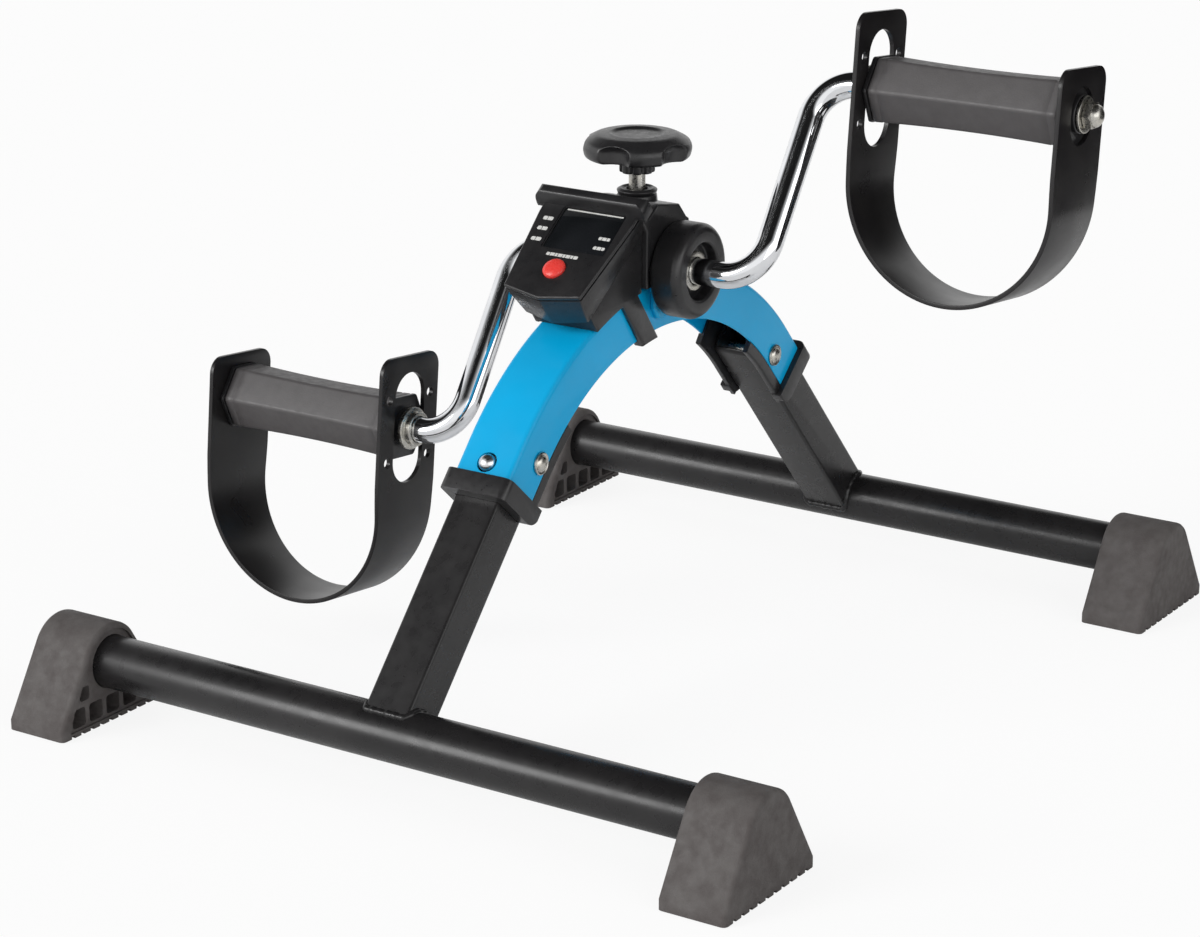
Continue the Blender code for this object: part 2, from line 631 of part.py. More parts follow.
# Shaft bracket, bushes, bearing cups and brake on top of the arch
def build_bearing():
    web_low = SHAFT_Z + BRACKET_RISE
    web_high = web_low + BRACKET_WEB
    foot = CROWN_Z - BRACKET_DROP
    low_half = BRACKET_HALF_DEPTH - BRACKET_CHAMFER
    outline = [(-BRACKET_HALF_DEPTH, web_high), (BRACKET_HALF_DEPTH, web_high),
               (BRACKET_HALF_DEPTH, foot + 1.5 * BRACKET_CHAMFER), (low_half, foot), (-low_half, foot),
               (-BRACKET_HALF_DEPTH, foot + 1.5 * BRACKET_CHAMFER)]
    bracket = plate("axle_bracket", outline, -BRACKET_HALF_WIDTH, BRACKET_HALF_WIDTH, across(), BLUE)
    round_edges(bracket, 0.4 * BRACKET_WEB, 1)
    clear = CHANNEL_HALF_WIDTH + GAP
    cut(bracket, block("bracket_inside", (-clear, -THROUGH, foot - OVERCUT), (clear, THROUGH, web_low)))
    shaft = across(0, SHAFT_Z)
    cut(bracket, rod("bracket_bush_hole", BUSH_RADIUS + GAP, -THROUGH, THROUGH, shaft, steps=24))
    cut(bracket, rod("bracket_screw_hole", SCREW_RADIUS + GAP, web_low - OVERCUT, web_high + OVERCUT, UPRIGHT))
    bore = SLEEVE_RADIUS + GAP
    clear = ROD_RADIUS + 2 * GAP
    flange = BRACKET_HALF_WIDTH + GAP
    inside = CHANNEL_HALF_WIDTH + 1.3 * GAP
    face = CUP_X + CUP_LENGTH
    recess = face - CUP_RECESS
    sleeve_end = SLEEVE_HALF + 4 * GAP
    sleeve_room = SLEEVE_RADIUS + 2 * GAP
    for hand, word in ((-1, "left"), (1, "right")):
        place = across(0, SHAFT_Z, hand)
        turned(word + "_axle_bush", [(bore, flange + BUSH_FLANGE), (BUSH_FLANGE_RADIUS, flange + BUSH_FLANGE),
                                     (BUSH_FLANGE_RADIUS, flange), (BUSH_RADIUS, flange), (BUSH_RADIUS, inside),
                                     (bore, inside)], place, NYLON, steps=16)
        turned(word + "_bearing_cup", [(CUP_RECESS_RADIUS, face - 0.2 * CUP_ROUND),
                                       (CUP_RECESS_RADIUS + 0.4 * CUP_ROUND, face),
                                       (CUP_RADIUS - 0.9 * CUP_ROUND, face),
                                       (CUP_RADIUS - 0.2 * CUP_ROUND, face - 0.3 * CUP_ROUND),
                                       (CUP_RADIUS, face - CUP_ROUND), (CUP_RADIUS, CUP_X + 0.85 * CUP_ROUND),
                                       (CUP_RADIUS - 0.9 * CUP_ROUND, CUP_X), (sleeve_room, CUP_X),
                                       (sleeve_room, sleeve_end), (clear, sleeve_end), (clear, recess),
                                       (CUP_RECESS_RADIUS - GAP, recess)], place, PLASTIC, steps=22)
    shoe_top = SHAFT_Z + SHOE_RISE
    shoe_low = SHAFT_Z + bore / 2
    shoe = [(-SHOE_HALF_DEPTH, shoe_low), (-SHOE_HALF_DEPTH, shoe_top), (SHOE_HALF_DEPTH, shoe_top),
            (SHOE_HALF_DEPTH, shoe_low)]
    shoe += arc((0, SHAFT_Z), bore, 30, 150, 10)
    brake = plate("brake_shoe", shoe, -SHOE_HALF_WIDTH, SHOE_HALF_WIDTH, across(), BRAKE)
    cut(brake, rod("brake_socket", SCREW_RADIUS + GAP, shoe_top - SHOE_SOCKET, shoe_top + OVERCUT, UPRIGHT))
    carried_by("brake_axis", (0, 0, shoe_top), [brake])
    nut_low = web_high + GAP
    nut = rod("tension_nut", NUT_RADIUS, nut_low, nut_low + NUT_HEIGHT, UPRIGHT, ZINC, steps=6)
    cut(nut, rod("tension_nut_bore", SCREW_RADIUS + GAP, nut_low - OVERCUT, nut_low + NUT_HEIGHT + OVERCUT, UPRIGHT))
    reed_y = -BRACKET_HALF_DEPTH - REED_SETBACK
    block("reed_sensor", (MAGNET_X - MAGNET_WIDTH, reed_y - REED_DEPTH, CROWN_Z - GAP),
          (MAGNET_X + MAGNET_WIDTH, reed_y, CROWN_Z + MAGNET_RADIUS), mat=PLASTIC)


# Knob: a turned cap with finger scallops cut up into it, on a screw that bears on the brake
def build_knob():
    hub_low = SHAFT_Z + KNOB_RISE
    skirt_low = hub_low + KNOB_HUB_HEIGHT
    top = skirt_low + KNOB_HEIGHT
    bore, bore_top = SCREW_RADIUS + GAP, hub_low + KNOB_BORE_DEPTH
    profile = [(0, top - KNOB_DISH), (KNOB_DISH_RADIUS - 2 * KNOB_DISH, top - KNOB_DISH), (KNOB_DISH_RADIUS, top),
               (KNOB_RADIUS - 1.35 * KNOB_EDGE, top - 0.09 * KNOB_EDGE),
               (KNOB_RADIUS - 0.3 * KNOB_EDGE, top - 0.43 * KNOB_EDGE), (KNOB_RADIUS, top - KNOB_EDGE),
               (KNOB_RADIUS, skirt_low + 0.54 * KNOB_EDGE), (KNOB_RADIUS - 0.48 * KNOB_EDGE, skirt_low),
               (KNOB_HUB_RADIUS, skirt_low), (KNOB_HUB_RADIUS, hub_low), (bore, hub_low), (bore, bore_top),
               (0, bore_top)]
    knob = turned("tension_knob", profile, UPRIGHT, PLASTIC, steps=36)
    out = KNOB_RADIUS + SCALLOP_OUT
    for i in range(KNOB_LOBES):
        angle = math.radians(-84) + 2 * math.pi * i / KNOB_LOBES
        spot = Matrix.Translation((out * math.cos(angle), out * math.sin(angle), 0))
        cut(knob, rod("knob_scallop_%d" % i, SCALLOP_RADIUS, skirt_low - OVERCUT, top - SCALLOP_ROOF, spot, steps=20))
    tip, head = SHAFT_Z + SHOE_RISE - SHOE_SOCKET + GAP, bore_top - GAP
    chamfer = 0.15 * SCREW_RADIUS
    screw = turned("knob_screw", [(0, head), (SCREW_RADIUS, head), (SCREW_RADIUS, tip + chamfer),
                                  (SCREW_RADIUS - chamfer, tip), (0, tip)], UPRIGHT, ZINC, steps=16)
    carried_by("knob_axis", (0, 0, hub_low), [knob, screw])
    seat = COVER_ROOF + GAP
    hole = SCREW_RADIUS + 4 * GAP
    turned("screw_grommet", [(hole, seat + 0.85 * GROMMET_HEIGHT), (0.82 * GROMMET_RADIUS, seat + GROMMET_HEIGHT),
                             (GROMMET_RADIUS, seat + 0.46 * GROMMET_HEIGHT), (0.97 * GROMMET_RADIUS, seat),
                             (hole, seat)], UPRIGHT, PLASTIC, steps=16)


# Cover over the bracket, leaning against the display at the user's side
def build_cover():
    floor = SHAFT_Z + COVER_SKIRT
    below = floor - THROUGH
    front_y, front_z = panel_yz(PANEL_LENGTH + GAP, CASE_DEPTH + GAP)
    lean_y = front_y - math.tan(PANEL_ANGLE) * (COVER_ROOF - front_z)
    eave = COVER_ROOF - COVER_EAVE
    ceiling = COVER_ROOF - COVER_WALL
    bevel = COVER_REAR - COVER_BEVEL
    rear = COVER_REAR - COVER_WALL
    front = front_y + COVER_WALL
    outer = [(lean_y, COVER_ROOF), (bevel, COVER_ROOF), (COVER_REAR, eave), (COVER_REAR, floor), (front_y, floor),
             (front_y, front_z)]
    inner = [(lean_y + 2.4 * COVER_WALL, ceiling), (bevel - 0.3 * COVER_WALL, ceiling),
             (rear, eave - 0.6 * COVER_WALL), (rear, below), (front, below), (front, front_z + 0.4 * COVER_WALL)]
    cover = plate("crown_cover", outer, -COVER_HALF_WIDTH, COVER_HALF_WIDTH, across(), PLASTIC)
    round_edges(cover, 0.4 * COVER_WALL, 1)
    inside = COVER_HALF_WIDTH - COVER_WALL
    cut(cover, plate("cover_inside", inner, -inside, inside, across()))
    cut(cover, rod("cover_bush_hole", BUSH_FLANGE_RADIUS + 2 * GAP, -THROUGH, THROUGH, across(0, SHAFT_Z), steps=24))
    cut(cover, rod("cover_screw_hole", SCREW_RADIUS + 3 * GAP, ceiling - OVERCUT, COVER_ROOF + OVERCUT, UPRIGHT))


# Display: a lofted case that stands on the arch, its lid, and what is inside
def panel_outline(front_half, half, nose, shoulder, far):
    """An outline on the panel: narrow at the user's end, with straight sides past its shoulders."""
    right = [(front_half, nose), (half, shoulder), (half, far)]
    return right + [(-x, p) for x, p in reversed(right)]


def build_display():
    shoulder = PANEL_LENGTH - PANEL_SHOULDER
    upper = [(0, 0)] + panel_outline(PANEL_FRONT_HALF, PANEL_HALF_WIDTH, PANEL_NOSE, shoulder, PANEL_LENGTH)
    lower = [(0, CASE_NOSE_TAPER)] + panel_outline(PANEL_FRONT_HALF - CASE_FRONT_TAPER,
                                                   PANEL_HALF_WIDTH - CASE_SIDE_TAPER,
                                                   PANEL_NOSE + CASE_NOSE_TAPER, shoulder, PANEL_LENGTH)
    case_top = BEZEL_THICK + GAP
    case = loft("display_case", [[PANEL @ Vector((x, p, -q)) for x, p in outline]
                                 for outline, q in ((upper, case_top), (lower, CASE_DEPTH))], PLASTIC)
    edge = ARCH_RADIUS + CHANNEL_LOW - GAP
    crown = ARCH_RADIUS + CHANNEL_TOP + GAP
    hub = Vector((0, ARCH_Z))

    def down_to(p, radius):
        """Where a line square to the panel, at p up its slope, comes within a radius of the arch's centre."""
        start = Vector(panel_yz(p, 0)) - hub
        into = Vector(panel_yz(p, 1)) - hub - start
        half = start.dot(into)
        return panel_yz(p, -half - math.sqrt(half * half - start.length_squared + radius * radius))

    tab_rear = PANEL_LENGTH - TAB_REAR
    foot = [panel_yz(TAB_FRONT, CASE_DEPTH - GAP), panel_yz(tab_rear, CASE_DEPTH - GAP)]
    foot += [down_to(tab_rear + (TAB_MIDDLE - tab_rear) * i / 3, edge - TAB_HOLD) for i in range(4)]
    foot += [down_to(TAB_MIDDLE + (TAB_FRONT - TAB_MIDDLE) * i / 4, crown - 3 * GAP) for i in range(5)]
    side = CHANNEL_HALF_WIDTH + GAP
    join(case, plate("case_foot", foot, -CHANNEL_HALF_WIDTH - TAB_WALL, CHANNEL_HALF_WIDTH + TAB_WALL, across()))
    arch_hub = across(0, ARCH_Z)
    cut(case, turned("case_channel_room", [(edge, side), (crown, side), (crown, -side), (edge, -side)], arch_hub,
                     steps=120))
    inside = CHANNEL_HALF_WIDTH - TAB_WALL
    cut(case, rod("case_arch_room", crown, -inside, inside, arch_hub, steps=120))
    near, far = TAB_FRONT + CASE_WALL, tab_rear - CASE_WALL
    high, low = CASE_DEPTH + 0.8 * CASE_WALL, CASE_DEPTH + TAB_HOLLOW
    hollow = [panel_yz(near, high), panel_yz(far, high), panel_yz(far, low), panel_yz(near, low)]
    cut(case, plate("case_hollow", hollow, -inside + GAP, inside - GAP, across()))
    room_front = PANEL_FRONT_HALF - CASE_SIDE_WALL
    room_half = PANEL_HALF_WIDTH - CASE_SIDE_WALL
    room_near = PANEL_NOSE + CASE_NOSE_TAPER
    room_shoulder = shoulder - 0.5 * PANEL_SHOULDER
    room_far = PANEL_LENGTH - CASE_WALL
    room = panel_outline(room_front, room_half, room_near, room_shoulder, room_far)
    cut(case, plate("case_room", room, -ROOM_DEPTH, OVERCUT, PANEL))
    well = panel_outline(room_front - WELL_STEP, room_half - 1.5 * WELL_STEP, room_near + WELL_STEP, room_shoulder,
                         room_far - WELL_STEP)
    cut(case, plate("case_well", well, CASE_WALL - CASE_DEPTH, -case_top, PANEL))

    bezel = plate("display_bezel", upper, -BEZEL_THICK, 0.0, PANEL, PLASTIC)
    half = RIDGE_DEPTH / 2
    ridge = [panel_yz(PANEL_LENGTH, BEZEL_THICK), panel_yz(PANEL_LENGTH - RIDGE_DEPTH, BEZEL_THICK)]
    for p, rise in arc((PANEL_LENGTH - half, 0), half, 180, 0, 6):
        ridge.append(panel_yz(p, -rise * RIDGE_HEIGHT / half))
    join(bezel, plate("bezel_ridge", ridge, -RIDGE_HALF_WIDTH, RIDGE_HALF_WIDTH, across()))
    near, far = BUTTON_P + WINDOW_MARGIN, PANEL_LENGTH - WINDOW_TOP
    cut(bezel, block("bezel_sight", (WINDOW_LEFT - GAP, near - GAP, -case_top - OVERCUT),
                     (WINDOW_RIGHT + GAP, far + GAP, OVERCUT), PANEL))
    press_axis = PANEL @ Matrix.Translation((0, BUTTON_P, 0))
    cut(bezel, rod("bezel_button_hole", BUTTON_RADIUS + GAP, -case_top - OVERCUT, OVERCUT, press_axis))
    block("lcd_window", (WINDOW_LEFT, near, -case_top), (WINDOW_RIGHT, far, -GAP), PANEL, GLASS)
    module_top = -case_top - GAP
    block("lcd_module", (WINDOW_LEFT - MODULE_RIM, near - MODULE_RIM, module_top - MODULE_THICK),
          (WINDOW_RIGHT - MODULE_RIM, far + MODULE_RIM, module_top), PANEL, LCD)
    board = panel_outline(room_front - GAP, room_half - GAP, room_near + GAP, room_shoulder, room_far - GAP)
    board_low = GAP - ROOM_DEPTH
    plate("circuit_board", board, board_low, board_low + BOARD_THICK, PANEL, BOARD)
    cell_top = board_low - GAP
    rod("button_cell", CELL_RADIUS, cell_top - CELL_THICK, cell_top, PANEL @ Matrix.Translation((0, near, 0)), ZINC)
    flange_top = -case_top - GAP
    flange_low = flange_top - BUTTON_FLANGE
    stem_low = flange_low - 2 * GAP
    button = turned("mode_button", [(0, BUTTON_RISE), (0.51 * BUTTON_RADIUS, 0.92 * BUTTON_RISE),
                                    (0.84 * BUTTON_RADIUS, 0.69 * BUTTON_RISE), (BUTTON_RADIUS, 0.38 * BUTTON_RISE),
                                    (BUTTON_RADIUS, flange_top), (BUTTON_FLANGE_RADIUS, flange_top),
                                    (BUTTON_FLANGE_RADIUS, flange_low), (BUTTON_STEM_RADIUS, flange_low),
                                    (BUTTON_STEM_RADIUS, stem_low), (0, stem_low)], press_axis, RED, steps=14)
    carried_by("button_axis", press_axis.translation, [button])


# Crank: two bent rods pinned into a sleeve, with the washers, collars and nuts on them
def rod_route(hand):
    """The centre line of a crank rod, from the sleeve out to its shoulder, with both bends rounded."""
    corners = [Vector((ROD_START_X, 0, 0)), Vector((ARM_X, 0, 0)), Vector((ARM_END_X, PEDAL_Y, PEDAL_RISE)),
               Vector((ROD_END_X, PEDAL_Y, PEDAL_RISE))]
    route = [corners[0]]
    for before, corner, after in zip(corners, corners[1:], corners[2:]):
        back, ahead = (before - corner).normalized(), (after - corner).normalized()
        opening = back.angle(ahead)
        centre = corner + (back + ahead).normalized() * (BEND_RADIUS / math.sin(opening / 2))
        trim = BEND_RADIUS / math.tan(opening / 2)
        start, end = corner + back * trim - centre, corner + ahead * trim - centre
        for i in range(BEND_STEPS + 1):
            route.append(centre + start.slerp(end, i / BEND_STEPS).normalized() * BEND_RADIUS)
    route.append(corners[-1])
    return [Vector((hand * p.x, hand * p.y, SHAFT_Z + hand * p.z)) for p in route]


def build_crank_rod(hand, word, axle):
    curve = bpy.data.curves.new(word + "_crank", "CURVE")
    curve.dimensions = "3D"
    curve.bevel_depth = ROD_RADIUS
    curve.bevel_resolution = 5
    curve.use_fill_caps = True
    route = rod_route(hand)
    spline = curve.splines.new("POLY")
    spline.points.add(len(route) - 1)
    for point, spot in zip(spline.points, route):
        point.co = (*spot, 1)
    crank = from_curve(word + "_crank", curve, UPRIGHT, CHROME)
    join(crank, rod(word + "_stud", STUD_RADIUS, ROD_END_X - STUD_LENGTH, ROD_END_X + STUD_LENGTH, axle))
    return crank


def washer(name, bore, radius, low, thick, place):
    high = low + thick
    return turned(name, [(bore, high), (radius, high), (radius, low), (bore, low)], place, ZINC, steps=16)


def build_cap_nut(word, seat, bore, axle):
    crown = seat + CAP_NUT_HEIGHT
    root = seat + 0.25 * CAP_NUT_HEIGHT
    nut = rod(word + "_cap_nut", CAP_NUT_RADIUS, seat, crown, axle, ZINC, steps=6)
    dome = [(0, crown + CAP_DOME_RISE), (0.58 * CAP_DOME_RADIUS, crown + 0.89 * CAP_DOME_RISE),
            (0.88 * CAP_DOME_RADIUS, crown + 0.53 * CAP_DOME_RISE), (CAP_DOME_RADIUS, crown), (CAP_DOME_RADIUS, root),
            (0, root)]
    join(nut, turned(word + "_nut_dome", dome, axle, steps=12))
    cut(nut, rod(word + "_nut_bore", bore, seat - OVERCUT, ROD_END_X + STUD_LENGTH + GAP, axle))
    return nut


def build_crank():
    sleeve = turned("axle_sleeve", [(ROD_BORE, SLEEVE_HALF), (SLEEVE_RADIUS, SLEEVE_HALF),
                                    (SLEEVE_RADIUS, -SLEEVE_HALF), (ROD_BORE, -SLEEVE_HALF)], across(0, SHAFT_Z),
                    ZINC, steps=16)
    spinning = [sleeve]
    hole = STUD_RADIUS + GAP
    for hand, word in ((-1, "left"), (1, "right")):
        shaft = across(0, SHAFT_Z, hand)
        axle = across(hand * PEDAL_Y, SHAFT_Z + hand * PEDAL_RISE, hand)
        crank = build_crank_rod(hand, word, axle)
        pin_axis = frame((hand * ROLL_PIN_X, 0, SHAFT_Z), (0, 0, 1), (1, 0, 0))
        pin_hole = rod(word + "_pin_hole", ROLL_PIN_RADIUS + GAP, -THROUGH, THROUGH, pin_axis, steps=10)
        cut(crank, pin_hole)
        cut(sleeve, pin_hole)
        half = SLEEVE_RADIUS - GAP
        pin = rod(word + "_roll_pin", ROLL_PIN_RADIUS, -half, half, pin_axis, ZINC, steps=10)
        seat = CUP_X + CUP_LENGTH - CUP_RECESS + GAP
        inner = washer(word + "_axle_washer", ROD_BORE, WASHER_RADIUS, seat, WASHER_THICK, shaft)
        end = INNER_PLATE_X - PLUG_PROUD - 1.3 * GAP
        step = end - COLLAR_FLANGE
        collar = turned(word + "_rod_collar", [(ROD_BORE, end), (COLLAR_FLANGE_RADIUS, end),
                                               (COLLAR_FLANGE_RADIUS, step), (COLLAR_RADIUS, step - GAP),
                                               (COLLAR_RADIUS, end - COLLAR_LENGTH), (ROD_BORE, end - COLLAR_LENGTH)],
                        axle, ZINC, steps=16)
        seat = ROD_END_X + GAP
        outer = washer(word + "_end_washer", hole, WASHER_RADIUS, seat, END_WASHER_THICK, axle)
        nut = build_cap_nut(word, seat + END_WASHER_THICK + GAP, hole, axle)
        spinning += [crank, pin, inner, collar, outer, nut]
        build_pedal(hand, word)
    magnet = SLEEVE_RADIUS + GAP
    low, high = MAGNET_X - MAGNET_WIDTH / 2, MAGNET_X + MAGNET_WIDTH / 2
    ring = [(magnet, high), (MAGNET_RADIUS, high), (MAGNET_RADIUS, low), (magnet, low)]
    spinning.append(turned("magnet_ring", ring, across(0, SHAFT_Z), PLASTIC, steps=16))
    carried_by("crank_axis", (0, 0, SHAFT_Z), spinning)


# Pedal: a six-sided tread, waisted in the middle, on plugs that run on the rod through the strap's slots
def build_pedal(hand, word):
    axis = Vector((0, hand * PEDAL_Y, SHAFT_Z + hand * PEDAL_RISE))
    tilted = Matrix.Translation(axis) @ Matrix.Rotation(PEDAL_TILT, 4, "X")
    spin = tilted @ across(hand=hand)
    inner_flange = INNER_PLATE_X + STRAP_THICK / 2 + GAP
    outer_flange = OUTER_PLATE_X - STRAP_THICK / 2 - GAP
    low = inner_flange + PLUG_FLANGE + GAP
    high = outer_flange - PLUG_FLANGE - GAP
    middle = (low + high) / 2

    def section(x, radius):
        corner = radius - TREAD_CORNER / math.cos(math.radians(30))
        outline = []
        for start in range(0, 360, 60):
            turn = math.radians(start)
            spot = (corner * math.cos(turn), corner * math.sin(turn))
            outline += arc(spot, TREAD_CORNER, start - 30, start + 30, 2)
        return [tilted @ Vector((hand * x, y, z)) for y, z in outline]

    end_radius = TREAD_RADIUS + TREAD_FLARE - TREAD_CHAMFER
    sections = [section(low, end_radius)]
    for i in range(5):
        x = low + TREAD_CHAMFER + (high - low - 2 * TREAD_CHAMFER) * i / 4
        sections.append(section(x, TREAD_RADIUS + TREAD_FLARE * ((x - middle) / (high - middle)) ** 2))
    sections.append(section(high, end_radius))
    tread = loft(word + "_tread", sections, VINYL)
    cut(tread, rod(word + "_tread_bore", TREAD_BORE, low - OVERCUT, high + OVERCUT, spin))
    spigot = TREAD_BORE - GAP
    plugs = []
    for name, end, flange, inward in (("_inner_plug", INNER_PLATE_X - PLUG_PROUD, inner_flange, 1),
                                      ("_outer_plug", OUTER_PLATE_X + PLUG_PROUD, outer_flange, -1)):
        shoulder = flange + inward * PLUG_FLANGE
        tip = shoulder + inward * PLUG_SPIGOT
        profile = [(PLUG_BORE, tip), (spigot, tip), (spigot, shoulder), (PLUG_FLANGE_RADIUS, shoulder),
                   (PLUG_FLANGE_RADIUS, flange), (PLUG_BOSS_RADIUS, flange), (PLUG_BOSS_RADIUS, end),
                   (PLUG_BORE, end)]
        plugs.append(turned(word + name, profile[::inward], spin, PLASTIC, steps=14))
    strap = build_strap(hand, word, tilted)
    carried_by(word + "_pedal_axis", axis + Vector((hand * middle, 0, 0)), [tread, strap] + plugs)


def build_strap(hand, word, tilted):
    """A flat strip bent into a loop under the tread, wide at its two end plates, with slots for the plugs."""
    radius = (OUTER_PLATE_X - INNER_PLATE_X) / 2
    middle = (OUTER_PLATE_X + INNER_PLATE_X) / 2
    line = [(INNER_PLATE_X, STRAP_INNER_TOP - STRAP_CORNER * f) for f in (0, 0.12, 0.4, 1)]
    line += arc((middle, STRAP_TURN), radius, 180, 360, 14)
    line += [(OUTER_PLATE_X, STRAP_OUTER_TOP - STRAP_CORNER * f) for f in (1, 0.4, 0.12, 0)]
    last = len(line) - 1
    work = bmesh.new()
    bmesh.ops.create_grid(work, x_segments=last, y_segments=1, size=0.5)
    for vert in work.verts:
        i = round((vert.co.x + 0.5) * last)
        x, z = line[i]
        drop = min(max((STRAP_TAPER_START - z) / STRAP_TAPER, 0.0), 1.0)
        half = (STRAP_WIDTH + (STRAP_LOW_WIDTH - STRAP_WIDTH) * drop) / 2
        below = (STRAP_INNER_TOP if 2 * i < last else STRAP_OUTER_TOP) - z
        if below < STRAP_CORNER:
            half -= STRAP_CORNER - math.sqrt(STRAP_CORNER ** 2 - (STRAP_CORNER - below) ** 2)
        vert.co = (hand * x, 2 * half * vert.co.y, z)
    strap = from_bmesh(word + "_strap", work, tilted, STRAP)
    shell = strap.modifiers.new("thickness", "SOLIDIFY")
    shell.thickness = STRAP_THICK
    shell.offset = 0
    shell.use_even_offset = True
    view = tilted @ across()
    inner = sorted((hand * (INNER_PLATE_X - 2 * STRAP_THICK), hand * (INNER_PLATE_X + 2 * STRAP_THICK)))
    outer = sorted((hand * (OUTER_PLATE_X - 2 * STRAP_THICK), hand * (OUTER_PLATE_X + 2 * STRAP_THICK)))
    slot = PLUG_BOSS_RADIUS + SLOT_ROOM
    oval = arc((0, 0), 1, 0, 342, 19)
    cut(strap, plate(word + "_inner_slot", [(slot * y, INNER_SLOT_HALF * z) for y, z in oval], *inner, view))
    slot += SLOT_ROOM / 2
    cut(strap, plate(word + "_outer_slot", [(slot * y, OUTER_SLOT_HALF * z - OUTER_SLOT_DROP) for y, z in oval],
                     *outer, view))
    side = STRAP_WIDTH / 2 - STRAP_HOLE_INSET
    for i, (y, z) in enumerate(((-side, STRAP_HOLE_Z), (side, STRAP_HOLE_Z), (-side, -STRAP_HOLE_Z),
                                (side, -STRAP_HOLE_Z))):
        spot = view @ Matrix.Translation((y, z, 0))
        cut(strap, rod("%s_strap_hole_%d" % (word, i), STRAP_HOLE_RADIUS, *inner, spot, steps=8))
    return strap


build_arch()
build_leg(-1, "front")
build_leg(1, "rear")
build_bearing()
build_knob()
build_cover()
build_display()
build_crank()
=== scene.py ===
# %% [markdown]
# # A pedal exerciser, piece by piece
# The machine is a blue steel arch on two folding legs, with a bent chrome crank, two strapped pedals, a
# tension knob and a small counter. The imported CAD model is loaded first, because it holds every size and
# every joint. Each finer piece made below is put where its CAD node is, and the node is then hidden behind
# it.

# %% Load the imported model
import json
import math

import bpy
from mathutils import Matrix, Vector


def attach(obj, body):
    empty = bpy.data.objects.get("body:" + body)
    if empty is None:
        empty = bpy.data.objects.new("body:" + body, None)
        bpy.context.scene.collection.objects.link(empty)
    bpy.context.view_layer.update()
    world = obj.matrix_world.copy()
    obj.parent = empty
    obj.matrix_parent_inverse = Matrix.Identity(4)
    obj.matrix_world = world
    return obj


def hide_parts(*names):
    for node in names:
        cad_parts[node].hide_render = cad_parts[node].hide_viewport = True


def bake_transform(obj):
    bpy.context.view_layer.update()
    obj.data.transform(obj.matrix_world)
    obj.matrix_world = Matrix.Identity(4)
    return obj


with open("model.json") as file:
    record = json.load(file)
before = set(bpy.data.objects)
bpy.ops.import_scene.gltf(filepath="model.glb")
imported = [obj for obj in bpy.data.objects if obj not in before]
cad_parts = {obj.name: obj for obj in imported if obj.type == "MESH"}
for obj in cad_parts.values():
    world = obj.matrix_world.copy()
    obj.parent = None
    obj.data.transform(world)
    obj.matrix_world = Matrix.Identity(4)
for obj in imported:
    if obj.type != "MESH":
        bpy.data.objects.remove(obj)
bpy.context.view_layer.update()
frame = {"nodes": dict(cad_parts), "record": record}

# %% [markdown]
# ## The camera
# The photograph looks down a little from the front right. Its rails stay nearly parallel, so it was taken
# from well back with a long lens. The same angles and lens are set here, so that the two pictures can be
# laid over each other.

# %% Put the camera where the photograph was taken
AIM = Vector((-0.00722, -0.02110, 0.10284))
CAMERA_TURN = math.radians(33.125)
CAMERA_RISE = math.radians(18.17)
CAMERA_DISTANCE = 1.6737
LENS_MM = 104.1
SENSOR_MM = 36.0
VIEW_END = 100.0

level = math.cos(CAMERA_RISE)
towards = Vector((level * math.sin(CAMERA_TURN), -level * math.cos(CAMERA_TURN), math.sin(CAMERA_RISE)))
bpy.ops.object.select_all(action="DESELECT")
bpy.ops.object.camera_add(location=AIM + CAMERA_DISTANCE * towards)
camera = bpy.context.object
camera.rotation_euler = towards.to_track_quat("Z", "Y").to_euler()
camera.data.lens = LENS_MM
camera.data.sensor_width = SENSOR_MM
camera.data.clip_end = VIEW_END
bpy.context.scene.camera = camera
print("camera at", [round(part, 3) for part in camera.location])

# %% [markdown]
# ## Floor and light
# The photograph has a plain white ground, as in a studio with a paper sweep. A wide pale floor does the
# same here. It is made brighter to the camera alone, so the ground looks white while the soft shadows stay.
# A broad lamp from the front left, a weaker one from the right and an even sky light the machine at a level
# where a colour looks about as it is written.

# %% Lay the floor
FLOOR_SIZE = 14.0
FLOOR_DROP = 0.0004
PAPER_WHITE = 0.96
GLOW_SHARE = 0.88

bpy.ops.object.select_all(action="DESELECT")
bpy.ops.mesh.primitive_plane_add(size=FLOOR_SIZE, location=(0, 0, -FLOOR_DROP))
floor = bpy.context.object
floor.name = "studio_floor"
paper = bpy.data.materials.new("white_paper")
paper.use_nodes = True
nodes, links = paper.node_tree.nodes, paper.node_tree.links
nodes["Principled BSDF"].inputs["Base Color"].default_value = (PAPER_WHITE, PAPER_WHITE, PAPER_WHITE, 1)
nodes["Principled BSDF"].inputs["Roughness"].default_value = 0.9
nodes["Principled BSDF"].inputs["Specular IOR Level"].default_value = 0.0
glow = nodes.new("ShaderNodeEmission")
ray = nodes.new("ShaderNodeLightPath")
share = nodes.new("ShaderNodeMath")
share.operation = "MULTIPLY"
share.inputs[1].default_value = GLOW_SHARE
blend = nodes.new("ShaderNodeMixShader")
links.new(ray.outputs["Is Camera Ray"], share.inputs[0])
links.new(share.outputs[0], blend.inputs["Fac"])
links.new(nodes["Principled BSDF"].outputs["BSDF"], blend.inputs[1])
links.new(glow.outputs["Emission"], blend.inputs[2])
links.new(blend.outputs["Shader"], nodes["Material Output"].inputs["Surface"])
floor.data.materials.append(paper)
print("floor", FLOOR_SIZE, "m wide")

# %% Light the studio
SKY_LIGHT = 0.46
LAMP_POWER = 2.0
LAMP_WAY = (-0.52, -0.85, 0.46)
LAMP_SPREAD = 34
FILL_POWER = 0.9
FILL_WAY = (0.92, -0.30, 0.26)
FILL_SPREAD = 60

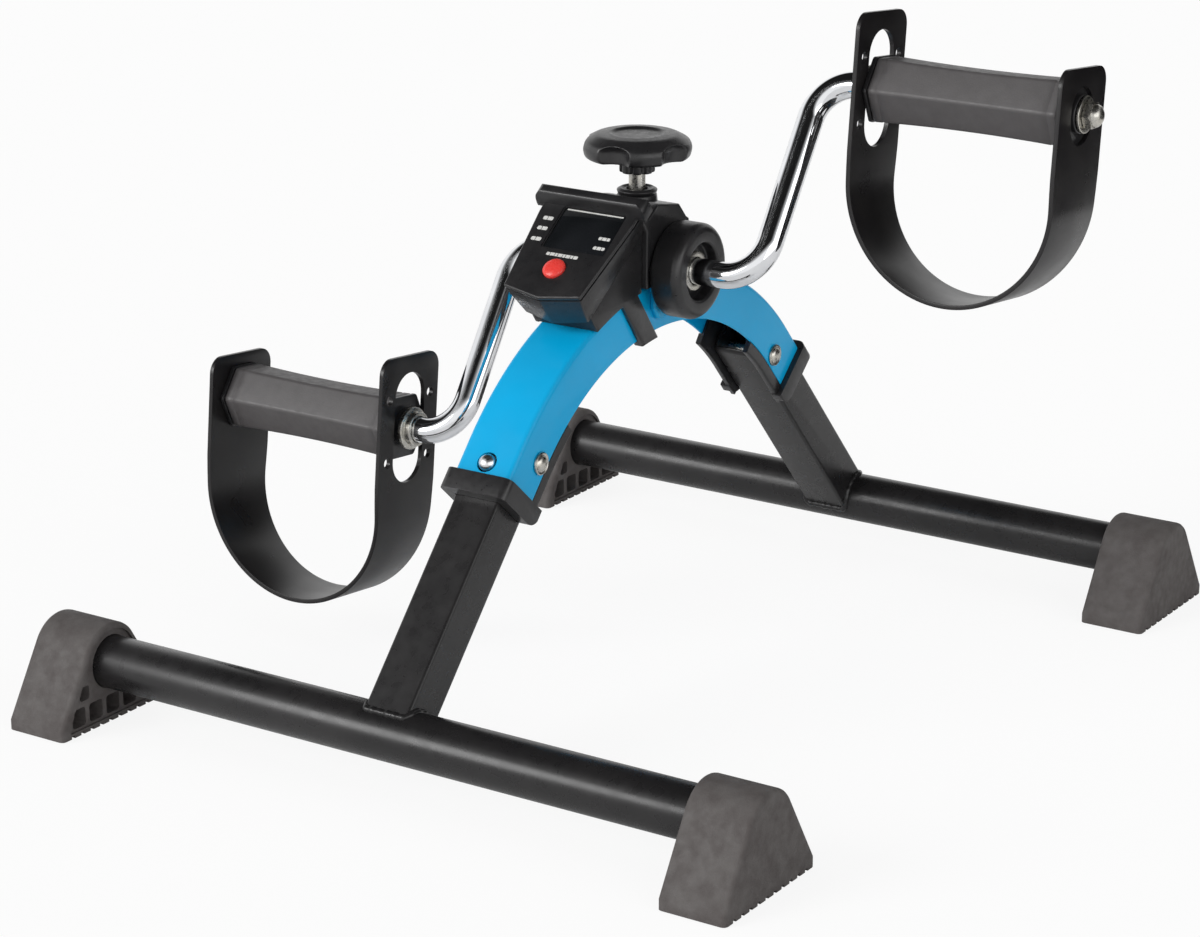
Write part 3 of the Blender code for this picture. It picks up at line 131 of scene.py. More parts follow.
world = bpy.data.worlds.new("studio_sky")
bpy.context.scene.world = world
world.use_nodes = True
nodes, links = world.node_tree.nodes, world.node_tree.links
ray = nodes.new("ShaderNodeLightPath")
seen = nodes.new("ShaderNodeMath")
seen.operation = "MAXIMUM"
seen_too = nodes.new("ShaderNodeMath")
seen_too.operation = "MAXIMUM"
power = nodes.new("ShaderNodeMapRange")
power.inputs["To Min"].default_value = SKY_LIGHT
power.inputs["To Max"].default_value = 1.0
links.new(ray.outputs["Is Camera Ray"], seen.inputs[0])
links.new(ray.outputs["Is Glossy Ray"], seen.inputs[1])
links.new(seen.outputs[0], seen_too.inputs[0])
links.new(ray.outputs["Is Transmission Ray"], seen_too.inputs[1])
links.new(seen_too.outputs[0], power.inputs["Value"])
links.new(power.outputs["Result"], nodes["Background"].inputs["Strength"])
nodes["Background"].inputs["Color"].default_value = (1, 1, 1, 1)


def broad_lamp(name, power, direction, spread):
    """A far lamp with soft shadows; direction points to the lamp, and spread is in degrees."""
    bpy.ops.object.light_add(type="SUN", location=2 * Vector(direction))
    lamp = bpy.context.object
    lamp.name = name
    lamp.data.energy = power
    lamp.data.angle = math.radians(spread)
    lamp.rotation_euler = Vector(direction).to_track_quat("Z", "Y").to_euler()


broad_lamp("main_lamp", LAMP_POWER, LAMP_WAY, LAMP_SPREAD)
broad_lamp("fill_lamp", FILL_POWER, FILL_WAY, FILL_SPREAD)
bpy.context.scene.view_settings.view_transform = "Standard"
print("sky", SKY_LIGHT, "lamps", LAMP_POWER, FILL_POWER)

# %% [markdown]
# The tops of the rails and the glass of the display are deep black in the photograph, and the chrome has
# dark streaks, because dark parts of the studio are mirrored in them. Two black cards with soft edges do
# this here, one overhead and one behind on the right. Only mirrored rays see them, so they take no light
# away.

# %% Hang two dark cards
velvet = bpy.data.materials.new("black_velvet")
velvet.use_nodes = True
nodes, links = velvet.node_tree.nodes, velvet.node_tree.links
spot = nodes.new("ShaderNodeTexCoord")
rings = nodes.new("ShaderNodeTexGradient")
rings.gradient_type = "SPHERICAL"
fade = nodes.new("ShaderNodeValToRGB")
fade.color_ramp.elements[0].position = 0.0
fade.color_ramp.elements[0].color = (0.9, 0.9, 0.9, 1)
fade.color_ramp.elements[1].position = 0.34
fade.color_ramp.elements[1].color = (0.012, 0.012, 0.012, 1)
shine = nodes.new("ShaderNodeEmission")
links.new(spot.outputs["Object"], rings.inputs["Vector"])
links.new(rings.outputs["Color"], fade.inputs["Fac"])
links.new(fade.outputs["Color"], shine.inputs["Color"])
links.new(shine.outputs["Emission"], nodes["Material Output"].inputs["Surface"])


def dark_card(name, radius, middle, facing):
    """A round card that only mirrored rays see."""
    bpy.ops.object.select_all(action="DESELECT")
    bpy.ops.mesh.primitive_circle_add(vertices=64, radius=1, fill_type="NGON", location=middle)
    card = bpy.context.object
    card.name = name
    card.scale = (radius, radius, radius)
    card.rotation_euler = Vector(facing).to_track_quat("Z", "Y").to_euler()
    card.data.materials.append(velvet)
    card.visible_camera = False
    card.visible_diffuse = False
    card.visible_transmission = False
    card.visible_shadow = False
    print(name, "is", 2 * radius, "m across")


dark_card("ceiling_card", 2.8, (0, 0.1, 1.5), (0, 0, -1))
dark_card("side_card", 0.75, (0.62, 0.72, 0.16), (-0.62, -0.72, 0))

# %% [markdown]
# ## Finishes
# Each finish is a node material on the piece's own coordinates, so that it stays put when the piece moves.
# Noise gives three things: a slight drift of colour, a drift of gloss, and a fine grain that is raised by a
# bump. Numbers that are the same all over are set on the shader itself.

# %% Helpers that build a finish
NOISE_LOW, NOISE_HIGH = 0.3, 0.7
FINISH = {}


def new_finish(name, colour, roughness, metallic=0.0, **plain):
    """A Principled material with its plain numbers set on the shader."""
    finish = bpy.data.materials.new(name)
    finish.use_nodes = True
    finish.diffuse_color = (*colour, 1)
    shader = finish.node_tree.nodes["Principled BSDF"]
    shader.inputs["Base Color"].default_value = (*colour, 1)
    shader.inputs["Roughness"].default_value = roughness
    shader.inputs["Metallic"].default_value = metallic
    for socket, value in plain.items():
        shader.inputs[socket.replace("_", " ")].default_value = value
    return finish


def speckle(finish, scale, detail):
    """Noise on the piece's own coordinates, in spots of about 1/scale metres."""
    nodes, links = finish.node_tree.nodes, finish.node_tree.links
    spot = nodes.new("ShaderNodeTexCoord")
    noise = nodes.new("ShaderNodeTexNoise")
    noise.inputs["Scale"].default_value = scale
    noise.inputs["Detail"].default_value = detail
    links.new(spot.outputs["Object"], noise.inputs["Vector"])
    return noise.outputs["Fac"]


def tint(finish, source, dark, light):
    """Lets the colour drift between two shades."""
    nodes, links = finish.node_tree.nodes, finish.node_tree.links
    ramp = nodes.new("ShaderNodeValToRGB")
    ramp.color_ramp.elements[0].position = NOISE_LOW
    ramp.color_ramp.elements[0].color = (*dark, 1)
    ramp.color_ramp.elements[1].position = NOISE_HIGH
    ramp.color_ramp.elements[1].color = (*light, 1)
    links.new(source, ramp.inputs["Fac"])
    links.new(ramp.outputs["Color"], nodes["Principled BSDF"].inputs["Base Color"])


def polish(finish, source, smooth, rough):
    """Lets the roughness drift between two values."""
    nodes, links = finish.node_tree.nodes, finish.node_tree.links
    span = nodes.new("ShaderNodeMapRange")
    span.inputs["From Min"].default_value = NOISE_LOW
    span.inputs["From Max"].default_value = NOISE_HIGH
    span.inputs["To Min"].default_value = smooth
    span.inputs["To Max"].default_value = rough
    links.new(source, span.inputs["Value"])
    links.new(span.outputs["Result"], nodes["Principled BSDF"].inputs["Roughness"])


def grain(finish, source, depth, strength):
    """Raises a fine grain, as deep as depth in metres."""
    nodes, links = finish.node_tree.nodes, finish.node_tree.links
    bump = nodes.new("ShaderNodeBump")
    bump.inputs["Strength"].default_value = strength
    bump.inputs["Distance"].default_value = depth
    links.new(source, bump.inputs["Height"])
    links.new(bump.outputs["Normal"], nodes["Principled BSDF"].inputs["Normal"])


def coat(slot, name, colour, roughness, metallic=0.0, shades=None, gloss=None, skin=None, **plain):
    """The finish of a material slot; shades, gloss and skin each start with a noise's scale and detail."""
    finish = new_finish(name, colour, roughness, metallic, **plain)
    for add, facts in ((tint, shades), (polish, gloss), (grain, skin)):
        if facts:
            add(finish, speckle(finish, *facts[:2]), *facts[2:])
    FINISH[slot] = finish
    print("made", name)


# %% [markdown]
# The arch is sprayed in a clean gloss blue. Spray paint dries with a faint ripple, like the skin of an
# orange, so the bump is low and a few millimetres wide, and a thin clear coat gives the bright line along
# the channel's edge.

# %% Blue paint on the arch
coat("blue_paint", "gloss_blue_paint", (0.001, 0.38, 0.72), 0.3,
     shades=(30, 3, (0.001, 0.37, 0.70), (0.0015, 0.40, 0.75)), gloss=(90, 3, 0.28, 0.38),
     skin=(420, 2, 0.00004, 0.5), Specular_IOR_Level=0.25, Coat_Weight=0.12, Coat_Roughness=0.08)

# %% [markdown]
# The legs and rails are powder coated: baked black paint with a satin, slightly pebbled skin. The pebbles
# are about half a millimetre, so they blur the reflections without being seen one by one.

# %% Powder coat on the legs and rails
coat("black_powder_coat", "satin_black_powder_coat", (0.015, 0.014, 0.0145), 0.28,
     shades=(40, 3, (0.012, 0.0115, 0.012), (0.018, 0.017, 0.0175)), gloss=(160, 3, 0.25, 0.33),
     skin=(1800, 2, 0.00003, 0.4), Specular_IOR_Level=0.4)

# %% [markdown]
# The crank is chromed and its fasteners are zinc plated. Chrome is almost a mirror, with faint smears where
# hands have held it. Zinc is duller and a little yellow in places, from the bath that keeps it from
# rusting.

# %% Chrome, zinc and spring steel
coat("chrome_rod", "chromed_rod", (0.80, 0.81, 0.83), 0.07, 1.0,
     shades=(60, 3, (0.74, 0.75, 0.77), (0.86, 0.87, 0.89)), gloss=(90, 4, 0.05, 0.09))
coat("zinc_plate", "zinc_plate", (0.53, 0.52, 0.485), 0.3, 1.0,
     shades=(260, 4, (0.45, 0.44, 0.42), (0.63, 0.605, 0.535)), gloss=(900, 3, 0.22, 0.38),
     skin=(2600, 2, 0.00001, 0.3))
coat("spring_steel", "polished_spring_steel", (0.72, 0.72, 0.73), 0.3, 1.0,
     shades=(300, 3, (0.66, 0.66, 0.68), (0.80, 0.80, 0.80)), gloss=(700, 3, 0.24, 0.36))

# %% [markdown]
# The housings, knob and liners are black moulded plastic. The mould was spark eroded, which leaves a fine
# even matt grain. The pedal straps are a harder, smoother plastic with long soft highlights, and the treads
# are a grey skin with a leather-like grain.

# %% Moulded plastics and the tread
coat("black_plastic", "moulded_black_plastic", (0.016, 0.016, 0.017), 0.32,
     shades=(70, 3, (0.012, 0.012, 0.013), (0.021, 0.020, 0.021)), gloss=(400, 3, 0.27, 0.37),
     skin=(2600, 2, 0.00003, 0.4))
coat("strap_plastic", "smooth_strap_plastic", (0.010, 0.009, 0.010), 0.30,
     shades=(50, 3, (0.008, 0.007, 0.008), (0.013, 0.012, 0.012)), gloss=(60, 2, 0.27, 0.34),
     skin=(260, 1, 0.00003, 0.3), Specular_IOR_Level=0.4)
coat("grey_tread", "grey_tread_skin", (0.076, 0.071, 0.072), 0.46,
     shades=(160, 4, (0.070, 0.065, 0.066), (0.082, 0.077, 0.078)), gloss=(300, 3, 0.40, 0.55),
     skin=(1500, 3, 0.00012, 0.6))

# %% [markdown]
# The feet are moulded rubber. Rubber blooms: wax comes to the surface in grey and brownish patches, and the
# skin scuffs where it is handled. So the colour is mottled in spots of several sizes, and the gloss is low.

# %% Rubber of the feet
coat("foot_rubber", "bloomed_foot_rubber", (0.075, 0.068, 0.066), 0.7,
     shades=(120, 5, (0.072, 0.063, 0.061), (0.104, 0.096, 0.093)), gloss=(260, 4, 0.58, 0.82),
     skin=(1300, 4, 0.00018, 0.6), Specular_IOR_Level=0.35)

# %% [markdown]
# The rest are small: the red button, the dark glass and the grey cell of the display, the green board, the
# nylon bushes, the felt of the brake shoe, and the pale ink that marks the display.

# %% Small finishes
coat("red_button", "red_button_plastic", (0.78, 0.05, 0.04), 0.28,
     shades=(250, 1, (0.77, 0.047, 0.038), (0.80, 0.052, 0.042)), gloss=(900, 3, 0.22, 0.34),
     Subsurface_Weight=0.08)
coat("lcd_glass", "dark_display_glass", (0.008, 0.009, 0.010), 0.12,
     shades=(60, 1, (0.006, 0.007, 0.008), (0.011, 0.012, 0.014)), gloss=(150, 3, 0.08, 0.16))
coat("lcd_grey", "display_cell_grey", (0.25, 0.27, 0.22), 0.4,
     shades=(200, 3, (0.22, 0.24, 0.20), (0.28, 0.30, 0.25)))
coat("board_green", "green_circuit_board", (0.02, 0.15, 0.05), 0.45,
     shades=(400, 3, (0.015, 0.11, 0.04), (0.03, 0.19, 0.07)))
coat("white_nylon", "white_nylon", (0.74, 0.73, 0.69), 0.45,
     shades=(120, 3, (0.70, 0.69, 0.64), (0.78, 0.77, 0.73)))
coat("brake_felt", "brake_felt", (0.30, 0.26, 0.20), 0.95,
     shades=(900, 6, (0.22, 0.19, 0.15), (0.38, 0.33, 0.26)), skin=(2400, 6, 0.0003, 1.0))
coat("panel_ink", "pale_panel_ink", (0.62, 0.62, 0.60), 0.5,
     shades=(1500, 3, (0.52, 0.52, 0.50), (0.70, 0.70, 0.68)))
print(len(FINISH), "finishes")

# %% [markdown]
# ## Modelling by hand, in code
# Almost every piece here starts as one vertex that is extruded from point to point, as one would draw an
# outline with the mouse. The outline is then filled and extruded into a slab, or spun into a turned piece.
# Holes are cut with a Boolean that is applied at once, and a Bevel rounds the edges, so every finished
# piece is a plain mesh.

# %% Helpers that draw, spin, cut and place a piece
def clear_hands():
    """Leaves edit mode and lets go of everything, so that an operator acts on its own piece alone."""
    if bpy.context.object and bpy.context.object.mode != "OBJECT":
        bpy.ops.object.mode_set(mode="OBJECT")
    bpy.ops.object.select_all(action="DESELECT")


def pick_up(piece):
    """Selects one piece and makes it the active one."""
    clear_hands()
    piece.select_set(True)
    bpy.context.view_layer.objects.active = piece
    return piece


def push(*step):
    """Extrudes what is selected by a step."""
    bpy.ops.mesh.extrude_region_move(TRANSFORM_OT_translate={"value": step})


def draw(name, points, closed=True):
    """Draws a line by extruding a vertex from point to point, and stays in edit mode, all selected."""
    clear_hands()
    bpy.ops.mesh.primitive_plane_add(size=0.001)
    piece = bpy.context.object
    piece.name = name
    bpy.ops.object.mode_set(mode="EDIT")
    bpy.ops.mesh.merge(type="CENTER")
    points = [Vector(point) for point in points]
    bpy.ops.transform.translate(value=points[0])
    for here, there in zip(points, points[1:] + points[:1] if closed else points[1:]):
        push(*(there - here))
    bpy.ops.mesh.select_all(action="SELECT")
    bpy.ops.mesh.remove_doubles(threshold=0.000001)
    bpy.ops.mesh.select_all(action="SELECT")
    return piece


def close_up():
    """Welds the seams, turns the faces outwards and leaves edit mode."""
    bpy.ops.mesh.select_all(action="SELECT")
    bpy.ops.mesh.remove_doubles(threshold=0.000001)
    bpy.ops.mesh.normals_make_consistent(inside=False)
    bpy.ops.object.mode_set(mode="OBJECT")


def slab(name, outline, low, high):
    """A flat outline, thick from low to high."""
    piece = draw(name, [(u, v, low) for u, v in outline])
    bpy.ops.mesh.edge_face_add()
    push(0, 0, high - low)
    close_up()
    return piece


def lathe(name, profile, steps=64):
    """A half profile of (radius, height), spun round the upright axis."""
    hollow = min(radius for radius, height in profile) > 0.000001
    piece = draw(name, [(radius, 0, height) for radius, height in profile], closed=hollow)
    bpy.ops.mesh.spin(steps=steps, angle=2 * math.pi, center=(0, 0, 0), axis=(0, 0, 1))
    close_up()
    return piece


def arc(centre, radius, start, end, steps):
    """Points on an arc, with angles in degrees."""
    turns = [math.radians(start + (end - start) * i / steps) for i in range(steps + 1)]
    return [(centre[0] + radius * math.cos(turn), centre[1] + radius * math.sin(turn)) for turn in turns]


def dome(radius, low, rise, steps=10):
    """The profile of a dome, from its top down to its rim."""
    turns = [math.radians(90 * i / steps) for i in range(steps + 1)]
    return [(radius * math.sin(turn), low + rise * math.cos(turn)) for turn in turns]


def box(low_u, low_v, high_u, high_v):
    """An outline with four square corners."""
    return [(low_u, low_v), (high_u, low_v), (high_u, high_v), (low_u, high_v)]


def eased(corners, steps=5):
    """An outline with rounded corners; each corner is (across, up, radius), and radius 0 keeps it sharp."""
    outline = []
    for before, corner, after in zip(corners[-1:] + corners[:-1], corners, corners[1:] + corners[:1]):
        here = Vector((corner[0], corner[1], 0))
        radius = corner[2]
        if radius == 0:
            outline.append((here.x, here.y))
            continue
        back = (Vector((before[0], before[1], 0)) - here).normalized()
        ahead = (Vector((after[0], after[1], 0)) - here).normalized()
        half = back.angle(ahead) / 2
        centre = here + (back + ahead).normalized() * (radius / math.sin(half))
        start = here + back * (radius / math.tan(half)) - centre
        end = here + ahead * (radius / math.tan(half)) - centre
        for i in range(steps + 1):
            spot = centre + start.slerp(end, i / steps).normalized() * radius
            outline.append((spot.x, spot.y))
    return outline


def rounded_box(low_u, low_v, high_u, high_v, radius):
    """An outline with four round corners."""
    return eased([(u, v, radius) for u, v in box(low_u, low_v, high_u, high_v)], 4)


def ring(name, bore, radius, low, high, ease=0.0003, steps=56):
    """A plain ring or tube with eased corners."""
    return lathe(name, eased([(u, v, ease) for u, v in box(bore, high, radius, low)], 3), steps)


def lay(piece, place):
    """Moves a piece by a matrix and applies it, so that its place is in its mesh."""
    pick_up(piece)
    piece.matrix_world = place
    bpy.ops.object.transform_apply(location=True, rotation=True, scale=True)
    if place.to_3x3().determinant() < 0:
        bpy.ops.object.mode_set(mode="EDIT")
        close_up()
    return piece


def carve(piece, tool, operation="DIFFERENCE"):
    """Cuts a tool out of a piece, or joins it on, and throws the tool away."""
    pick_up(piece)
    cut = piece.modifiers.new("cut", "BOOLEAN")
    cut.operation = operation
    cut.solver = "EXACT"
    cut.object = tool
    bpy.ops.object.modifier_apply(modifier=cut.name)
    bpy.data.objects.remove(tool)
    return piece


def soften(piece, width, segments=3, angle=50):
    """Rounds every edge that is sharper than an angle in degrees."""
    pick_up(piece)
    rounding = piece.modifiers.new("rounding", "BEVEL")
    rounding.width = width
    rounding.segments = segments
    rounding.limit_method = "ANGLE"
    rounding.angle_limit = math.radians(angle)
    rounding.harden_normals = False
    bpy.ops.object.modifier_apply(modifier=rounding.name)
    return piece


def drill(piece, radius, low, high, place, steps=40):
    """Drills a round hole along the third direction of a place."""
    clear_hands()
    bpy.ops.mesh.primitive_cylinder_add(vertices=steps, radius=radius, depth=high - low,
                                        location=(0, 0, (low + high) / 2))
    tool = bpy.context.object
    pick_up(tool)
    bpy.ops.object.transform_apply(location=True, rotation=True, scale=True)
    return carve(piece, lay(tool, place))


def copy_of(piece, name):
    """A second piece with a mesh of its own."""
    pick_up(piece)
    bpy.ops.object.duplicate(linked=False)
    twin = bpy.context.object
    twin.name = name
    return twin


def place_from(origin, first, second):
    """A place whose first two directions are given; the third stands square on them."""
    first, second = Vector(first), Vector(second)
    turn = Matrix((first, second, first.cross(second))).transposed()
    return Matrix.Translation(origin) @ turn.to_4x4()


def side_view(y=0.0, z=0.0):
    """The place of a piece drawn from the side: its outline runs in (y, z) and its thickness across."""
    return place_from((0, y, z), (0, 1, 0), (0, 0, 1))


def around(radius, degrees):
    """The place at a radius and an angle round the upright axis."""
    turn = math.radians(degrees)
    return Matrix.Translation((radius * math.cos(turn), radius * math.sin(turn), 0))


HERE = Matrix.Identity(4)
ALONG_X = side_view()
HALF_TURN = Matrix.Rotation(math.pi, 4, "Z")
ENDS = ("front", "rear")
SIDES = ("right", "left")


def settle(piece, body, slot, *nodes, place=HERE, smooth=32, held_by=None, held_at=None):
    """Lays a piece in its place and gives it its finish; it rides on its body, or is left loose when held_by
    is given.
    """
    lay(piece, place)
    bpy.ops.object.shade_smooth_by_angle(angle=math.radians(smooth))
    piece.data.materials.clear()
    piece.data.materials.append(FINISH[slot])
    if held_by:
        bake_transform(piece)
    else:
        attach(piece, body)
    if nodes:
        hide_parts(*nodes)
    print("%-24s %6d faces, rides on %s" % (piece.name, len(piece.data.polygons), body))
    return piece


def two_of(piece, name, slot, node, bodies, places, words=ENDS, smooth=32):
    """Settles a piece and a copy of it, one at each end or on each side of the machine."""
    twin = copy_of(piece, words[1] + "_" + name)
    piece.name = words[0] + "_" + name
    for each, word, body, place in zip((piece, twin), words, bodies, places):
        nodes = [word + "_" + node] if node else []
        settle(each, body, slot, *nodes, place=place, smooth=smooth)


# %% [markdown]
# ## Rails and feet
# A rail is a length of one-inch steel tube. It could be a plain cylinder, but its ends are open inside the
# feet, so its wall is drawn as a profile with eased corners and spun.

# %% Two rails
GAP = 0.0003
RAIL_RADIUS = 0.0127
RAIL_WALL = 0.0015
RAIL_HALF = 0.188
RAIL_Y = 0.202
RAIL_Z = 0.029

ON_LEGS = ("front_leg", "rear_leg")
rail = ring("rail", RAIL_RADIUS - RAIL_WALL, RAIL_RADIUS, -RAIL_HALF, RAIL_HALF, 0.0004, 96)
two_of(rail, "floor_bar", "black_powder_coat", "rail", ON_LEGS,
       (side_view(-RAIL_Y, RAIL_Z), side_view(RAIL_Y, RAIL_Z)))

# %% [markdown]
# A foot is one rubber moulding pushed over the rail's end. Seen from the side it is a rounded hump on
# straight flanks. The mould leaves a sunk inner face with open cells, to save rubber, and a grooved sole
# for grip. It is drawn from the side, rounded, cut off level with the ground, and then the socket, the
# cells and the grooves are cut.

# %% One rubber foot
FOOT_INNER_X = 0.163
FOOT_OUTER_X = 0.1965
FOOT_HALF_BASE = 0.037
FOOT_SIDE = 0.005
FOOT_TOP_RADIUS = 0.019
FOOT_TOP_SPREAD = 58
FOOT_EDGE = 0.0024
BELOW = -0.006
RIM = 0.0028
SUNK = 0.0012
SUNK_LOW = 0.0024
CELL_PITCH = 0.012
CELL_HALF = 0.0046
CELL_LOW = 0.0036
CELL_HIGH = 0.0128
CELL_DEPTH = 0.023
SIDE_CELL = 0.0068
SIDE_CELL_Y = 0.0195
SIDE_CELL_LOW = 0.0156
GROOVE_PITCH = 0.0066
GROOVE_HALF = 0.0013
GROOVE_DEPTH = 0.0014
GROOVE_START = -0.004
PAST = 0.01


def hump(half_low, half_high, low, radius):
    """A foot's side view: flanks from low up to the start of a round top."""
    top = arc((0, RAIL_Z), radius, 90 + FOOT_TOP_SPREAD, 90 - FOOT_TOP_SPREAD, 28)
    return [(-half_low, low), (-half_high, FOOT_SIDE)] + top + [(half_high, FOOT_SIDE), (half_low, low)]


outer = hump(FOOT_HALF_BASE, FOOT_HALF_BASE, BELOW, FOOT_TOP_RADIUS)
foot = soften(slab("rubber_foot", outer, FOOT_INNER_X, FOOT_OUTER_X), FOOT_EDGE, 4, 40)
level_cut = box(-2 * FOOT_HALF_BASE, 2 * BELOW, 2 * FOOT_HALF_BASE, 0)
carve(foot, slab("level_cut", level_cut, FOOT_INNER_X - PAST, FOOT_OUTER_X + PAST))
inner = hump(FOOT_HALF_BASE - 2.1 * RIM, FOOT_HALF_BASE - 1.9 * RIM, SUNK_LOW, FOOT_TOP_RADIUS - RIM)
carve(foot, slab("sunk_face", inner, FOOT_INNER_X - PAST, FOOT_INNER_X + SUNK))
drill(foot, RAIL_RADIUS + GAP, FOOT_INNER_X - PAST, RAIL_HALF + GAP, Matrix.Translation((0, RAIL_Z, 0)), 72)
cells = [rounded_box(y - CELL_HALF, CELL_LOW, y + CELL_HALF, CELL_HIGH, 0.0016)
         for y in (CELL_PITCH * (i - 2) for i in range(5))]
cells += [rounded_box(y - SIDE_CELL / 2, SIDE_CELL_LOW, y + SIDE_CELL / 2, SIDE_CELL_LOW + SIDE_CELL, 0.0014)
          for y in (-SIDE_CELL_Y, SIDE_CELL_Y)]
for cell in cells:
    carve(foot, slab("cell", cell, FOOT_INNER_X - PAST, FOOT_INNER_X + CELL_DEPTH))
for i in range(10):
    y = GROOVE_PITCH * (i - 4.5)
    groove = [(y - GROOVE_HALF, GROOVE_START), (y + GROOVE_HALF, GROOVE_START),
              (y + 0.8 * GROOVE_HALF, GROOVE_DEPTH), (y - 0.8 * GROOVE_HALF, GROOVE_DEPTH)]
    carve(foot, slab("groove", groove, FOOT_INNER_X - PAST, FOOT_OUTER_X + PAST))
print("foot has", len(foot.data.polygons), "faces")

# %% Four feet
for body, end, y in (("front_leg", "front", -RAIL_Y), ("rear_leg", "rear", RAIL_Y)):
    right = copy_of(foot, end + "_right_rubber_foot")
    settle(right, body, "foot_rubber", end + "_right_foot", place=side_view(y))
    left = copy_of(foot, end + "_left_rubber_foot")
    settle(left, body, "foot_rubber", end + "_left_foot", place=HALF_TURN @ side_view(-y))
bpy.data.objects.remove(foot)

# %% [markdown]
# ## Legs
# A leg is a square tube with rounded corners, saddled and welded onto its rail. Its upper end is rounded
# about the hinge pin, so that it can swing up inside the channel. It is drawn from the side along its own
# length, and the inside, the saddle and the holes are cut. The straight ends of the arch run on in line
# with the legs, so places along a leg follow from the rail, the angle and the radius of the arch.

# %% Two square legs
LEG_ANGLE = math.radians(48)
LEG_HALF_WIDTH = 0.012
LEG_HALF_DEPTH = 0.0115
LEG_WALL = 0.0015
LEG_CORNER = 0.0022
ARCH_RADIUS = 0.1457
CHANNEL_STRAIGHT = 0.01617
PIVOT_INSET = 0.0176
PIVOT_N = -0.0025
PIN_RADIUS = 0.003
SNAP_INSET = 0.0064
SNAP_RADIUS = 0.0042
THROUGH = 0.03

SIN, COS = math.sin(LEG_ANGLE), math.cos(LEG_ANGLE)
TANGENT_S = (RAIL_Y - ARCH_RADIUS * SIN) / COS
CHANNEL_END_S = TANGENT_S - CHANNEL_STRAIGHT
PIVOT_S = CHANNEL_END_S + PIVOT_INSET
SNAP_S = CHANNEL_END_S + SNAP_INSET


def leg_view(side):
    """The place of a piece drawn along a leg: s up the leg from its rail, n outwards, then across."""
    return place_from((0, side * RAIL_Y, RAIL_Z), (0, -side * COS, SIN), (0, side * SIN, COS))


ALONG_N = place_from((SNAP_S, 0, 0), (0, 0, 1), (1, 0, 0))
AT_PIVOT = Matrix.Translation((PIVOT_S, PIVOT_N, 0))
front_view, rear_view = leg_view(-1), leg_view(1)

reach = LEG_HALF_DEPTH - PIVOT_N
turn = math.degrees(math.asin((-LEG_HALF_DEPTH - PIVOT_N) / reach))
outline = [(0, -LEG_HALF_DEPTH), (0, LEG_HALF_DEPTH)] + arc((PIVOT_S, PIVOT_N), reach, 90, turn, 20)
leg = soften(slab("leg", outline, -LEG_HALF_WIDTH, LEG_HALF_WIDTH), LEG_CORNER, 5, 50)
deep, wide = LEG_HALF_DEPTH - LEG_WALL, LEG_HALF_WIDTH - LEG_WALL
carve(leg, slab("leg_inside", box(LEG_WALL, -deep, PIVOT_S + 2 * reach, deep), -wide, wide))
drill(leg, RAIL_RADIUS + GAP, -THROUGH, THROUGH, HERE, 72)
drill(leg, PIN_RADIUS + GAP, -THROUGH, THROUGH, AT_PIVOT)
drill(leg, SNAP_RADIUS + 2 * GAP, 0, THROUGH, ALONG_N)
two_of(leg, "square_leg", "black_powder_coat", "leg_tube", ON_LEGS, (front_view, rear_view))

# %% [markdown]
# A weld bead runs round the foot of each leg, where the square tube meets the round rail. Its path is the
# line where the two surfaces meet. The line is drawn, made a curve, thickened, and swollen here and there
# as a hand-laid bead is.

# %% Two weld beads
WELD_RADIUS = 0.0017
BEAD_STEP = 0.0011


def bead_path():
    """The line where the leg's four sides meet the rail, in short steps."""
    edge = rounded_box(-LEG_HALF_DEPTH, -LEG_HALF_WIDTH, LEG_HALF_DEPTH, LEG_HALF_WIDTH, LEG_CORNER)
    path = []
    for (n, x), (next_n, next_x) in zip(edge, edge[1:] + edge[:1]):
        parts = max(1, round(math.hypot(next_n - n, next_x - x) / BEAD_STEP))
        for i in range(parts):
            out_n = n + (next_n - n) * i / parts
            out_x = x + (next_x - x) * i / parts
            path.append((math.sqrt(max(RAIL_RADIUS ** 2 - out_n ** 2, 0)), out_n, out_x))
    return path


weld = draw("weld", bead_path())
bpy.ops.object.mode_set(mode="OBJECT")
bpy.ops.object.convert(target="CURVE")
weld.data.bevel_depth = WELD_RADIUS
weld.data.bevel_resolution = 4
for i, point in enumerate(weld.data.splines[0].points):
    point.radius = 1 + 0.13 * math.sin(1.7 * i) + 0.07 * math.sin(0.63 * i)
bpy.ops.object.convert(target="MESH")
weld = bpy.context.object
bpy.ops.object.mode_set(mode="EDIT")
close_up()
two_of(weld, "weld_bead", "black_powder_coat", None, ON_LEGS, (front_view, rear_view), smooth=60)

# %% [markdown]
# ## The arch
# The arch is one strip of sheet steel, pressed into a channel with its open side down and then bent. Its
# section is drawn at the front end, extruded along the straight, spun round the middle of the bend, and
# extruded down the other side. This keeps the wall even all the way, which bending a finished bar would
# not.

# %% The blue channel
CHANNEL_HALF_WIDTH = 0.0152
CHANNEL_TOP = 0.0153
CHANNEL_LOW = -0.0087
CHANNEL_WALL = 0.0015
SHAFT_RISE = 0.0059
BEND = 0.0026
NOTCH_HALF = 0.012
NOTCH_DROP = 0.0112

ARCH_Z = RAIL_Z + TANGENT_S * SIN - ARCH_RADIUS * COS
CROWN_Z = ARCH_Z + ARCH_RADIUS + CHANNEL_TOP
SHAFT_Z = CROWN_Z + SHAFT_RISE

